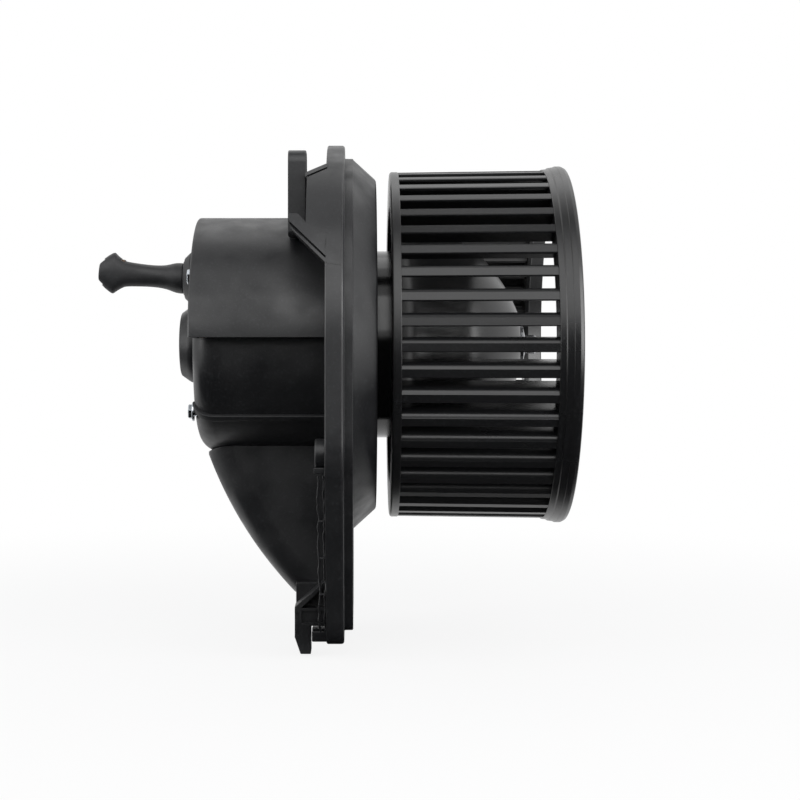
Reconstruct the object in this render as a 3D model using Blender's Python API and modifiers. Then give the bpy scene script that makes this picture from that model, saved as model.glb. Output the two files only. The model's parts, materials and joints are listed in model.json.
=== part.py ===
"""Heater blower: a motor in a two-part housing, on a mounting flange, with a squirrel-cage wheel.

Metres, +Z up. +X runs along the motor's axis, towards the wheel's open inlet. The origin is on that
axis, in the seat plane of the mounting flange.
"""

from math import acos, atan2, ceil, cos, degrees, pi, radians, sin, tan

import bmesh
import bpy
from mathutils import Matrix, Vector

MM = 0.001
GAP = 0.3 * MM                      # between two pieces that touch
RUNNING = 0.15 * MM                 # radial clearance of the shaft in its bearings
OVERLAP = 1.0 * MM                  # how far a joined shape reaches into its neighbour
TOLERANCE = 0.25 * MM               # chord error of a rounded corner

# Motor
CAN_RADIUS = 39.6 * MM
CAN_WALL = 1.6 * MM
CAN_FRONT = 46.0 * MM               # in front of the seat plane
CAN_EDGE = 6.0 * MM
CAN_HOLE_CLEARANCE = 1.6 * MM
SHAFT_RADIUS = 4.0 * MM
SHAFT_CHAMFER = 0.5 * MM
BEARING_RADIUS = SHAFT_RADIUS + 2.6 * MM
BEARING_CROWN = 0.86                # share of the bush's radius left at its ends
BEARING_LENGTH = 6.0 * MM
BEARING_SEAT_WALL = 2.7 * MM
BEARING_SEAT_HEIGHT = 6.0 * MM
RETAINER_RADIUS = BEARING_RADIUS + 2.2 * MM
RETAINER_THICKNESS = 1.0 * MM
WASHER_RADIUS = SHAFT_RADIUS + 3.4 * MM
WASHER_THICKNESS = 0.9 * MM
WASHER_STANDOFF = 1.2 * MM
END_FRAME_THICKNESS = 3.0 * MM
END_FRAME_SPIGOT = 7.0 * MM
END_FRAME_SPIGOT_WALL = 2.6 * MM
FRONT_DAMPER_WALL = 4.0 * MM
REAR_DAMPER_WALL = 2.9 * MM
REAR_DAMPER_LENGTH = 8.0 * MM

# Motor housing
HOUSING_WALL = 2.4 * MM
SHELL_RADIUS = CAN_RADIUS + GAP + REAR_DAMPER_WALL + GAP + HOUSING_WALL
COVER_RADIUS = SHELL_RADIUS + 8.1 * MM
COVER_END = 61.7 * MM               # behind the seat plane
COVER_EDGE = 1.6 * MM
COVER_FLOOR = 2.8 * MM              # above the axis
SHELL_END = COVER_END - 0.5 * MM
SHELL_EDGE = 8.5 * MM
SHELL_RIB_DEG = 40.0
SHELL_RIB_HEIGHT = 1.6 * MM
SHELL_RIB_THICKNESS = 2.8 * MM
REAR_DAMPER_BACK = SHELL_END - 10.2 * MM
BEARING_CAP_RADIUS = 16.4 * MM
BEARING_CAP_END = COVER_END + 8.1 * MM
BEARING_CAP_EDGE = 5.0 * MM
BEARING_CAP_WALL = 2.2 * MM

# Mounting flange
FLANGE_RADIUS = 84.0 * MM           # half-round top
FLANGE_FOOT = 120.6 * MM            # axis to bottom edge
FLANGE_FOOT_HALF = 44.0 * MM
FLANGE_TAPER_START = 45.0 * MM      # below the axis
FLANGE_TAPER_ROUND = 30.0 * MM
FLANGE_FOOT_ROUND = 12.0 * MM
FLANGE_DEPTH = 7.2 * MM
FLANGE_WALL = 3.0 * MM
SEAT_WIDTH = 5.5 * MM
SPIGOT_HEIGHT = 3.6 * MM
FLANGE_ROOF = 2.8 * MM
BOWL_BASE_RADIUS = FLANGE_RADIUS - SEAT_WIDTH - 0.6 * MM
BOWL_FACE_RADIUS = BOWL_BASE_RADIUS - 8.5 * MM
BOWL_HEIGHT = 13.0 * MM             # seat plane to bowl face
BOWL_EDGE = 1.6 * MM
TOWER_RADIUS = COVER_RADIUS + 1.5 * MM
TOWER_WALL = 2.5 * MM
RIB_THICKNESS = 2.0 * MM
RIB_SETBACK = 1.2 * MM
RIB_STEP_DEG = 45.0
DUCT_FRAME_WALL = 3.0 * MM

# Cooling duct
DUCT_HALF = 18.0 * MM
DUCT_WALL = 2.4 * MM
DUCT_EDGE = 7.0 * MM
DUCT_BACK = (SHELL_END - 3.7 * MM, SHELL_RADIUS + 1.0 * MM)     # behind the seat plane, below the axis
DUCT_FRONT = (21.3 * MM, FLANGE_FOOT - 16.5 * MM)
DUCT_BULGE = 4.6 * MM
DUCT_FOOT = FLANGE_FOOT - 8.6 * MM
AIR_HOLE_TOP = BOWL_BASE_RADIUS + 4.6 * MM
AIR_HOLE_BOTTOM = DUCT_FOOT - 1.0 * MM
AIR_HOLE_HALF = DUCT_HALF - 4.0 * MM
SHELL_PORT_BACK = SHELL_END - 7.2 * MM
SHELL_PORT_FRONT = 22.0 * MM

# Mounting ear and its web
EAR_BACK = 22.4 * MM                # behind the seat plane
EAR_THICKNESS = 7.2 * MM
EAR_TOP = FLANGE_RADIUS - 6.4 * MM
EAR_BOTTOM = EAR_TOP - 31.6 * MM
EAR_Y = -39.0 * MM
EAR_WIDTH = 16.0 * MM
EAR_ROUND = 0.45                    # share of the width, as the radius of the top's corners
EAR_FOOT_ROUND = 2.0 * MM
EAR_HOLE_RADIUS = 3.3 * MM
EAR_HOLE_Z = EAR_TOP - 11.6 * MM
WEB_Y = EAR_Y - 5.3 * MM
WEB_THICKNESS = 2.4 * MM
WEB_RIB = 2.2 * MM                  # width of the ribs along the web's edges
LEDGE = 0.4 * MM                    # step between joined faces that would be flush
WEB_TOP_AT_EAR = EAR_TOP - 9.0 * MM
WEB_TOP_AT_FLANGE = EAR_TOP - 7.8 * MM
WEB_FOOT_AT_EAR = EAR_BOTTOM - 2.7 * MM
WEB_FOOT_AT_FLANGE = EAR_BOTTOM - 11.8 * MM

# Screw boss low on the near side
BOSS_Y = 11.0 * MM - FLANGE_RADIUS
BOSS_Z = -41.7 * MM
BOSS_RADIUS = 5.8 * MM
BOSS_HOLE_RADIUS = 2.4 * MM
BOSS_HEIGHT = 3.8 * MM

# Clip at the foot, with its heights below the axis
CLIP_Y = -DUCT_HALF - 9.5 * MM
CLIP_WIDTH = 11.0 * MM
CLIP_BACK = 20.2 * MM
CLIP_TOP = FLANGE_FOOT - 24.9 * MM
CLIP_SHOULDER = FLANGE_FOOT - 14.1 * MM
CLIP_SHELF = FLANGE_FOOT - 6.4 * MM
CLIP_LEG_FRONT = 13.6 * MM
CLIP_LEG_BACK = 17.8 * MM
CLIP_TIP = FLANGE_FOOT + 5.0 * MM
CLIP_HEEL = FLANGE_FOOT - 1.9 * MM
CLIP_POCKET_WALL = 1.8 * MM

# Armature, magnets and brush gear
MAGNET_THICKNESS = 8.0 * MM
MAGNET_GAP = 9.0 * MM               # half the space between the two magnets
MAGNET_CLIP_WALL = 0.8 * MM
AIR_GAP = 0.9 * MM
BRUSH_PLATE_SETBACK = 2.5 * MM      # from the end frame's spigot
BRUSH_PLATE_THICKNESS = 2.8 * MM
BRUSH_PLATE_CLEARANCE = 1.0 * MM
BRUSH_SIZE = (9.0 * MM, 9.0 * MM, 13.0 * MM)
BRUSH_TUBE_WALL = 1.4 * MM
BRUSH_TUBE_LIFT = 3.0 * MM          # from the commutator to the tube's open end
SPRING_LENGTH = 7.2 * MM
SPRING_RADIUS = 2.9 * MM
SPRING_WIRE = 0.4 * MM
SPRING_TURNS = 3
CHOKE_RADIUS = 3.6 * MM
CHOKE_LENGTH = 12.5 * MM
CHOKE_PITCH = 23.0 * MM
CAPACITOR_SIZE = (9.0 * MM, 5.0 * MM, 8.0 * MM)
CAPACITOR_PITCH = 25.0 * MM
COMMUTATOR_RADIUS = 13.5 * MM
COMMUTATOR_LENGTH = 15.5 * MM
COMMUTATOR_RISER = (15.0 * MM, 2.5 * MM)    # radius and length
COMMUTATOR_SLOT = (0.7 * MM, 1.2 * MM)  # width and depth
CORE_SETBACK = 9.5 * MM             # from the commutator's raised end
CORE_FRONT = CAN_FRONT - 20.0 * MM
MAGNET_OVERLAP = 2.0 * MM           # how far the magnets reach past the core
SLOT_COUNT = 12
TOOTH_WIDTH = 5.0 * MM
TOOTH_TIP = 2.0 * MM
SLOT_OPENING = 2.4 * MM
SLOT_ROOT_RADIUS = 14.0 * MM
WINDING_SETBACK = 3.3 * MM          # inside the core's rim
WINDING_INNER = SHAFT_RADIUS + 5.0 * MM
WINDING_OVERHANG = 7.5 * MM
WINDING_BAR_DEPTH = 6.8 * MM        # inside the core's rim
WINDING_BAR_CLEARANCE = 0.8 * MM    # to the teeth beside it

# Rear screws
SCREW_PITCH_RADIUS = SHELL_RADIUS - 6.6 * MM
SCREW_RADIUS = 1.9 * MM
SCREW_HEAD_RADIUS = SCREW_RADIUS + 2.0 * MM
SCREW_HEAD_HEIGHT = 2.3 * MM
SCREW_SOCKET = (1.6 * MM, 1.2 * MM)     # radius and depth
SCREW_ANGLES = {"upper_near": 225.0, "upper_far": 135.0, "lower_near": 315.0, "lower_far": 45.0}

# Lead outlet
GLAND_RADIUS = 11.0 * MM
GLAND_END = COVER_END + 6.8 * MM
GLAND_CHAMFER = 3.0 * MM
GLAND_NECK = 8.0 * MM
LEAD_Z = BEARING_CAP_RADIUS + GLAND_RADIUS + 0.6 * MM
LEAD_BORE = 3.4 * MM
LEAD_RADIUS = 1.1 * MM
LEAD_SPREAD = 1.5 * MM
BOOT_LENGTH = 35.4 * MM
BOOT_RISE = 2.8 * MM
BOOT_SIDES = 12
BOOT_STATIONS = [
    # share of the length, half height, half width
    (0.00, 6.5 * MM, 6.5 * MM),
    (0.08, 6.3 * MM, 6.3 * MM),
    (0.20, 5.2 * MM, 5.2 * MM),
    (0.38, 4.7 * MM, 4.7 * MM),
    (0.66, 5.3 * MM, 4.9 * MM),
    (0.74, 6.1 * MM, 4.9 * MM),
    (0.80, 7.4 * MM, 4.8 * MM),
    (0.85, 8.7 * MM, 4.8 * MM),
    (0.88, 8.6 * MM, 4.8 * MM),
    (0.94, 7.0 * MM, 4.8 * MM),
    (1.00, 3.6 * MM, 4.4 * MM),
]
BOOT_START = -GLAND_END - GAP
MOUTH_SIZE = (5.6 * MM, 10.8 * MM)      # width and height of the mouth's pocket
MOUTH_DEPTH = 11.0 * MM
INSERT_DEPTH = 6.0 * MM
TERMINAL_SIZE = (9.0 * MM, 0.8 * MM, 2.6 * MM)
TERMINAL_SPREAD = 2.7 * MM

# Wheel
BLADE_COUNT = 46
BLADE_PHASE_DEG = 14.75             # one blade's land, above the horizontal on the near side
BLADE_TAPER = 0.012                 # growth of the cage from back plate to inlet
CAGE_SECTORS = 12
LAND_RADIUS = 72.6 * MM
LAND_WIDTH = 3.7 * MM
LAND_THICKNESS = 0.6 * MM           # at the land's trailing side
BLADE_CHORD = 10.9 * MM
BLADE_LEAN = 3.4 * MM               # root beside the middle of the land
BLADE_ROOT = 1.1 * MM               # thickness at the root
WHEEL_BACK = BOWL_HEIGHT + 5.7 * MM
RING_THICKNESS = 3.6 * MM
RING_RADIUS = LAND_RADIUS + 0.3 * MM
RING_INNER = LAND_RADIUS - BLADE_CHORD - 0.3 * MM
DISH_WALL = 2.2 * MM
DISH_DEPTH = CAN_FRONT + 28.0 * MM  # outer face of the dish, in front of the seat plane
CAN_TO_DISH = 3.0 * MM
HUB_LENGTH = 13.0 * MM
SHAFT_FRONT = DISH_DEPTH + 7.0 * MM
RIM_START = DISH_DEPTH + 8.5 * MM
RIM_END = RIM_START + 9.4 * MM
RIM_BASE_RADIUS = LAND_RADIUS + 1.3 * MM
RIM_RADIUS = RIM_BASE_RADIUS + 1.4 * MM
RIM_WALL = 2.4 * MM
SLEEVE_WALL = 1.8 * MM
SLEEVE_RADIUS = SHAFT_RADIUS + GAP + SLEEVE_WALL
HUB_RADIUS = SLEEVE_RADIUS + 3.4 * MM
CLIP_RING_RADIUS = SHAFT_RADIUS + 4.5 * MM
CLIP_RING_THICKNESS = 1.0 * MM

# Sizes and places that follow from the ones above
CAN_BORE = CAN_RADIUS - CAN_WALL
CAN_HOLE = CAN_RADIUS + CAN_HOLE_CLEARANCE
MAGNET_BORE = CAN_BORE - GAP - MAGNET_THICKNESS
CORE_RADIUS = MAGNET_BORE - AIR_GAP
WINDING_OUTER = CORE_RADIUS - WINDING_SETBACK
WINDING_BAR_PITCH_RADIUS = CORE_RADIUS - WINDING_BAR_DEPTH
SLOT_MIDDLE_HALF = WINDING_BAR_PITCH_RADIUS * sin(pi / SLOT_COUNT) - TOOTH_WIDTH / 2
WINDING_BAR_RADIUS = SLOT_MIDDLE_HALF - WINDING_BAR_CLEARANCE
MOTOR_SPACE = SHELL_RADIUS - HOUSING_WALL
BEARING_BORE = SHAFT_RADIUS + RUNNING
LOOSE_BORE = SHAFT_RADIUS + 2 * GAP
COVER_FRONT = FLANGE_DEPTH + GAP
END_FRAME_BACK = SHELL_END - HOUSING_WALL - GAP
CAN_BACK = END_FRAME_BACK - END_FRAME_THICKNESS - GAP
BRUSH_PLATE_BACK = CAN_BACK - END_FRAME_SPIGOT + GAP - BRUSH_PLATE_SETBACK + GAP
COMMUTATOR_BACK = BRUSH_PLATE_BACK - 1.3 * MM
COMMUTATOR_FRONT = COMMUTATOR_BACK - COMMUTATOR_LENGTH
BRUSH_CENTRE_X = 8.0 * MM - COMMUTATOR_BACK
BRUSH_TUBE_FOOT = COMMUTATOR_RADIUS + BRUSH_TUBE_LIFT
CORE_BACK = COMMUTATOR_FRONT - CORE_SETBACK
MAGNET_BACK = CORE_BACK + MAGNET_OVERLAP
MAGNET_FRONT = CORE_FRONT + MAGNET_OVERLAP


# ---------------------------------------------------------------- scene and materials

def clear_scene():
    for thing in list(bpy.data.objects):
        bpy.data.objects.remove(thing, do_unlink=True)


def new_collection(name):
    collection = bpy.data.collections.new(name)
    bpy.context.scene.collection.children.link(collection)
    return collection


def finish(name, colour, roughness, metallic=0.0):
    material = bpy.data.materials.new(name)
    material.use_nodes = True
    shader = material.node_tree.nodes["Principled BSDF"]
    shader.inputs["Base Color"].default_value = (*colour, 1.0)
    shader.inputs["Roughness"].default_value = roughness
    shader.inputs["Metallic"].default_value = metallic
    return material


clear_scene()
PARTS = new_collection("blower_motor_wheel")
CUTTERS = new_collection("blower_cutters")

BLACK_NYLON = ((0.020, 0.021, 0.022), 0.42)
WHEEL_NYLON = ((0.016, 0.016, 0.017), 0.30)
RUBBER = ((0.012, 0.013, 0.014), 0.65)
ZINC = ((0.62, 0.64, 0.66), 0.32, 1.0)
BLACKED_STEEL = ((0.055, 0.056, 0.058), 0.33, 0.9)
SPRING_STEEL = ((0.45, 0.46, 0.48), 0.30, 1.0)
GROUND_STEEL = ((0.55, 0.56, 0.58), 0.22, 1.0)
FERRITE = ((0.045, 0.045, 0.050), 0.60)
BRONZE = ((0.45, 0.30, 0.14), 0.45, 1.0)
COPPER = ((0.62, 0.28, 0.14), 0.32, 1.0)
CARBON = ((0.035, 0.035, 0.036), 0.55)
BRASS = ((0.70, 0.55, 0.25), 0.30, 1.0)
LAMINATION = ((0.22, 0.22, 0.23), 0.45, 1.0)
PHENOLIC = ((0.10, 0.055, 0.030), 0.50)
RED_WIRE = ((0.35, 0.02, 0.02), 0.45)
BLACK_WIRE = ((0.015, 0.015, 0.016), 0.45)


# ---------------------------------------------------------------- making shapes

def place(name, mesh, collection, look, matrix, parent):
    thing = bpy.data.objects.new(name, mesh)
    collection.objects.link(thing)
    if collection is CUTTERS:
        thing.hide_render = True
        thing.display_type = "WIRE"
    else:
        mesh.materials.append(finish(name + "_finish", *look))
    if parent is not None:
        thing.parent = parent
        thing.matrix_parent_inverse = parent.matrix_world.inverted()
    thing.matrix_world = matrix
    return thing


def smooth(mesh, angle_deg=32.0):
    mesh.shade_smooth()
    mesh.set_sharp_from_angle(angle=radians(angle_deg))


def signed_area(points):
    pairs = zip(points, points[1:] + points[:1])
    return 0.5 * sum(a[0] * b[1] - b[0] * a[1] for a, b in pairs)


def axis_matrix(y=0.0, z=0.0):
    """Local Z becomes world +X."""
    return Matrix.Translation((0.0, y, z)) @ Matrix.Rotation(pi / 2, 4, "Y")


def turned(name, profile, look=None, segments=48, solid=False, y=0.0, z=0.0, parent=None):
    """Turn (x, radius) points about the line along X through (y, z).

    A solid runs from the axis back to the axis; any other profile is a closed loop.
    """
    points = [(radius, along) for along, radius in profile]
    if solid and points[0][1] < points[-1][1]:
        points.reverse()
    if not solid and signed_area(points) > 0:
        points.reverse()
    mesh = bpy.data.meshes.new(name)
    edges = [(i, i + 1) for i in range(len(points) - 1)]
    if not solid:
        edges.append((len(points) - 1, 0))
    mesh.from_pydata([(radius, 0.0, along) for radius, along in points], edges, [])
    collection = PARTS if look else CUTTERS
    thing = place(name, mesh, collection, look, axis_matrix(y, z), parent)
    screw = thing.modifiers.new("turn", "SCREW")
    screw.steps = screw.render_steps = segments
    screw.use_merge_vertices = True
    screw.merge_threshold = 0.00001
    screw.use_smooth_shade = True
    return thing


def turned_ring(name, back, front, inner, outer, look=None, segments=32, **options):
    loop = [(back, inner), (back, outer), (front, outer), (front, inner)]
    return turned(name, loop, look, segments, **options)


def turned_disc(name, back, front, radius, look=None, segments=32, **options):
    line = [(back, 0.0), (back, radius), (front, radius), (front, 0.0)]
    return turned(name, line, look, segments, solid=True, **options)


def arc(centre, radius, start_deg, end_deg, steps):
    turns = [radians(start_deg + (end_deg - start_deg) * i / steps) for i in range(steps + 1)]
    return [(centre[0] + radius * cos(t), centre[1] + radius * sin(t)) for t in turns]


def rounded(corners):
    """A closed outline through (a, b, radius) corners."""
    points = []
    for i, (a, b, radius) in enumerate(corners):
        corner = Vector((a, b))
        before = (Vector(corners[i - 1][:2]) - corner).normalized()
        after = (Vector(corners[(i + 1) % len(corners)][:2]) - corner).normalized()
        if radius <= 0:
            points.append((a, b))
            continue
        half = before.angle(after) / 2
        middle = corner + (before + after).normalized() * radius / sin(half)
        start = corner + before * radius / tan(half) - middle
        end = corner + after * radius / tan(half) - middle
        turn = start.angle_signed(end)
        steps = max(2, ceil(abs(turn) / (2 * acos(1 - TOLERANCE / radius))))
        for step in range(steps + 1):
            spot = middle + Matrix.Rotation(-turn * step / steps, 2) @ start
            points.append((spot.x, spot.y))
    return points


def inset(corners, distance):
    """Move the sides of a convex anticlockwise outline inwards, and shrink its rounds."""
    moved = []
    for i, (a, b, radius) in enumerate(corners):
        corner = Vector((a, b))
        back = (corner - Vector(corners[i - 1][:2])).normalized()
        ahead = (Vector(corners[(i + 1) % len(corners)][:2]) - corner).normalized()
        normals = [Vector((-side.y, side.x)) for side in (back, ahead)]
        middle = (normals[0] + normals[1]).normalized()
        spot = corner + middle * distance / middle.dot(normals[0])
        moved.append((spot.x, spot.y, max(radius - distance, 0.0)))
    return moved


def flat_solid(name, outlines, low, high, plane, look=None, parent=None):
    """A plate between two parallel planes, from closed outlines in the YZ or the XZ plane."""
    curve = bpy.data.curves.new(name, "CURVE")
    curve.dimensions = "2D"
    curve.fill_mode = "BOTH"
    curve.extrude = (high - low) / 2
    for outline in outlines:
        spline = curve.splines.new("POLY")
        spline.points.add(len(outline) - 1)
        for point, (a, b) in zip(spline.points, outline):
            point.co = (a, b, 0.0, 1.0)
        spline.use_cyclic_u = True
    if plane == "YZ":
        turn = Matrix.Rotation(pi / 2, 4, "Z") @ Matrix.Rotation(pi / 2, 4, "X")
        matrix = Matrix.Translation(((low + high) / 2, 0.0, 0.0)) @ turn
    else:
        matrix = Matrix.Translation((0.0, (low + high) / 2, 0.0)) @ Matrix.Rotation(pi / 2, 4, "X")
    return solid_from_curve(name, curve, matrix, look, parent)


def solid_from_curve(name, curve, matrix, look=None, parent=None):
    drawn = bpy.data.objects.new(name + "_curve", curve)
    CUTTERS.objects.link(drawn)
    drawn.matrix_world = matrix
    bpy.context.view_layer.update()
    graph = bpy.context.evaluated_depsgraph_get()
    mesh = bpy.data.meshes.new_from_object(drawn.evaluated_get(graph))
    matrix = drawn.matrix_world.copy()
    bpy.data.objects.remove(drawn, do_unlink=True)
    mesh.name = name
    shape = bmesh.new()
    shape.from_mesh(mesh)
    bmesh.ops.remove_doubles(shape, verts=shape.verts, dist=0.000001)
    bmesh.ops.recalc_face_normals(shape, faces=shape.faces)
    shape.to_mesh(mesh)
    shape.free()
    return place(name, mesh, PARTS if look else CUTTERS, look, matrix, parent)


def block(name, low, high, look=None, parent=None, bevel=0.0):
    """A box between two corners."""
    shape = bmesh.new()
    bmesh.ops.create_cube(shape, size=1.0)
    size = [b - a for a, b in zip(low, high)]
    bmesh.ops.scale(shape, vec=size, verts=shape.verts)
    mesh = bpy.data.meshes.new(name)
    shape.to_mesh(mesh)
    shape.free()
    centre = [(a + b) / 2 for a, b in zip(low, high)]
    collection = PARTS if look else CUTTERS
    thing = place(name, mesh, collection, look, Matrix.Translation(centre), parent)
    if bevel:
        round_off = thing.modifiers.new("edges", "BEVEL")
        round_off.width = bevel
        round_off.segments = 2
    return thing


def tube(name, points, radius, look, parent=None):
    """A round wire along a route, with closed ends."""
    curve = bpy.data.curves.new(name, "CURVE")
    curve.dimensions = "3D"
    curve.bevel_depth = radius
    curve.bevel_resolution = 2
    curve.use_fill_caps = True
    spline = curve.splines.new("POLY")
    spline.points.add(len(points) - 1)
    for point, spot in zip(spline.points, points):
        point.co = (*spot, 1.0)
    thing = solid_from_curve(name, curve, Matrix.Identity(4), look, parent)
    smooth(thing.data, 50.0)
    return thing


def cut(target, cutter):
    boolean = target.modifiers.new("cut_" + cutter.name, "BOOLEAN")
    boolean.operation = "DIFFERENCE"
    boolean.object = cutter


def join(target, addition):
    boolean = target.modifiers.new("join_" + addition.name, "BOOLEAN")
    boolean.operation = "UNION"
    boolean.object = addition


def axis_empty(name, spot=(0.0, 0.0, 0.0)):
    empty = bpy.data.objects.new(name, None)
    PARTS.objects.link(empty)
    empty.location = spot
    bpy.context.view_layer.update()
    return empty


def around(radius, angle_deg):
    """(y, z) at an angle above the horizontal, measured on the near side."""
    return (-radius * cos(radians(angle_deg)), radius * sin(radians(angle_deg)))


# ---------------------------------------------------------------- mounting flange

def flange_corners():
    return [
        (FLANGE_RADIUS, FLANGE_RADIUS, FLANGE_RADIUS),
        (-FLANGE_RADIUS, FLANGE_RADIUS, FLANGE_RADIUS),
        (-FLANGE_RADIUS, -FLANGE_TAPER_START, FLANGE_TAPER_ROUND),
        (-FLANGE_FOOT_HALF, -FLANGE_FOOT, FLANGE_FOOT_ROUND),
        (FLANGE_FOOT_HALF, -FLANGE_FOOT, FLANGE_FOOT_ROUND),
        (FLANGE_RADIUS, -FLANGE_TAPER_START, FLANGE_TAPER_ROUND),
    ]


def bowl_profile(skin):
    """The bowl's cone and face, moved in by the thickness of its skin."""
    face = BOWL_HEIGHT - skin
    slope = (BOWL_BASE_RADIUS - BOWL_FACE_RADIUS) / (BOWL_HEIGHT - SPIGOT_HEIGHT)
    rim = BOWL_FACE_RADIUS + slope * BOWL_EDGE - skin
    return [
        (face, 0.0),
        (face, rim - BOWL_EDGE),
        (face - BOWL_EDGE / 3, rim - BOWL_EDGE / 3),
        (face - BOWL_EDGE, rim),
        (SPIGOT_HEIGHT - skin, BOWL_BASE_RADIUS - skin),
        (SPIGOT_HEIGHT - skin - OVERLAP, BOWL_BASE_RADIUS - skin),
        (SPIGOT_HEIGHT - skin - OVERLAP, 0.0),
    ]


def flange_pocket():
    """What is hollow behind the flange: steps that follow its outside, less the ribs."""
    corners = flange_corners()
    skirt = rounded(inset(corners, FLANGE_WALL))
    step = rounded(inset(corners, SEAT_WIDTH + FLANGE_WALL))
    pocket = flat_solid("pocket_skirt", [skirt], -FLANGE_DEPTH - OVERLAP, -FLANGE_WALL, "YZ")
    roof = SPIGOT_HEIGHT - FLANGE_ROOF
    join(pocket, flat_solid("pocket_step", [step], -FLANGE_WALL - OVERLAP, roof, "YZ"))
    join(pocket, turned("pocket_bowl", bowl_profile(FLANGE_ROOF), solid=True, segments=40))
    tower = turned_disc("pocket_tower", -FLANGE_DEPTH - 2 * OVERLAP, BOWL_HEIGHT + OVERLAP,
                        TOWER_RADIUS, segments=40)
    cut(pocket, tower)
    duct_side = DUCT_HALF + DUCT_FRAME_WALL
    frame = block("pocket_duct_frame", (-FLANGE_DEPTH - 2 * OVERLAP, -duct_side, -FLANGE_FOOT),
                  (BOWL_HEIGHT + OVERLAP, duct_side, 0.0))
    cut(pocket, frame)
    cut(pocket, pocket_ribs())
    return pocket


def pocket_ribs():
    """Radial ribs, left out where the duct's frame stands."""
    shape = bmesh.new()
    length = 2 * FLANGE_FOOT
    depth = FLANGE_DEPTH + BOWL_HEIGHT - RIB_SETBACK
    count = int(360 / RIB_STEP_DEG)
    for number in range(count):
        angle = RIB_STEP_DEG * (number + 0.5)
        if abs(angle - 270.0) < RIB_STEP_DEG:
            continue
        matrix = (
            Matrix.Rotation(radians(angle), 4, "X")
            @ Matrix.Translation((0.0, TOWER_RADIUS - OVERLAP + length / 2, 0.0))
            @ Matrix.Diagonal((depth, length, RIB_THICKNESS, 1.0))
        )
        bmesh.ops.create_cube(shape, size=1.0, matrix=matrix)
    mesh = bpy.data.meshes.new("pocket_ribs")
    shape.to_mesh(mesh)
    shape.free()
    middle = (BOWL_HEIGHT - FLANGE_DEPTH + RIB_SETBACK) / 2
    return place("pocket_ribs", mesh, CUTTERS, None, Matrix.Translation((middle, 0.0, 0.0)), None)


def add_ear(flange):
    """The screw ear behind the flange, its web, and the ribs along the web's edges."""
    low, high = EAR_Y - EAR_WIDTH / 2, EAR_Y + EAR_WIDTH / 2
    round_top = EAR_ROUND * EAR_WIDTH
    outline = rounded([
        (high, EAR_TOP, round_top), (low, EAR_TOP, round_top),
        (low, EAR_BOTTOM, EAR_FOOT_ROUND), (high, EAR_BOTTOM, EAR_FOOT_ROUND),
    ])
    front = EAR_THICKNESS - EAR_BACK
    root = SPIGOT_HEIGHT - FLANGE_ROOF + OVERLAP / 2
    join(flange, flat_solid("ear", [outline], -EAR_BACK, front, "YZ"))
    back = LEDGE - EAR_BACK
    seat = -FLANGE_DEPTH - LEDGE
    web = [
        (front - OVERLAP, WEB_TOP_AT_EAR), (seat, WEB_TOP_AT_FLANGE),
        (root, WEB_TOP_AT_FLANGE), (root, WEB_FOOT_AT_FLANGE),
        (seat, WEB_FOOT_AT_FLANGE), (back, WEB_FOOT_AT_EAR),
        (back, EAR_BOTTOM + 2 * OVERLAP), (front - OVERLAP, EAR_BOTTOM + 2 * OVERLAP),
    ]
    web_near = WEB_Y - WEB_THICKNESS / 2
    join(flange, flat_solid("ear_web", [web], web_near, web_near + WEB_THICKNESS, "XZ"))
    inner = root - LEDGE
    top_at_ear, top_at_flange = WEB_TOP_AT_EAR + LEDGE, WEB_TOP_AT_FLANGE + LEDGE
    top_rib = [
        (front - OVERLAP, top_at_ear), (seat + LEDGE, top_at_flange), (inner, top_at_flange),
        (inner, top_at_flange - WEB_RIB), (seat + LEDGE, top_at_flange - WEB_RIB),
        (front - OVERLAP, top_at_ear - WEB_RIB),
    ]
    foot_at_ear, foot_at_flange = WEB_FOOT_AT_EAR - LEDGE, WEB_FOOT_AT_FLANGE - LEDGE
    foot_rib = [
        (back + LEDGE, foot_at_ear), (seat - LEDGE, foot_at_flange), (inner, foot_at_flange),
        (inner, foot_at_flange + WEB_RIB), (seat - LEDGE, foot_at_flange + WEB_RIB),
        (back + LEDGE, foot_at_ear + WEB_RIB),
    ]
    for name, rib in (("ear_top_rib", top_rib), ("ear_foot_rib", foot_rib)):
        join(flange, flat_solid(name, [rib], low + LEDGE, WEB_Y, "XZ"))
    hole = turned_disc("ear_hole", -EAR_BACK - OVERLAP, front + OVERLAP, EAR_HOLE_RADIUS,
                       segments=16, y=EAR_Y, z=EAR_HOLE_Z)
    cut(flange, hole)


def add_boss(flange):
    root = SPIGOT_HEIGHT - FLANGE_ROOF + OVERLAP / 2
    top = -FLANGE_DEPTH - BOSS_HEIGHT
    join(flange, turned_disc("boss", top, root, BOSS_RADIUS, segments=20, y=BOSS_Y, z=BOSS_Z))
    cut(flange, turned_disc("boss_hole", top - OVERLAP, -FLANGE_WALL, BOSS_HOLE_RADIUS,
                            segments=12, y=BOSS_Y, z=BOSS_Z))


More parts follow.
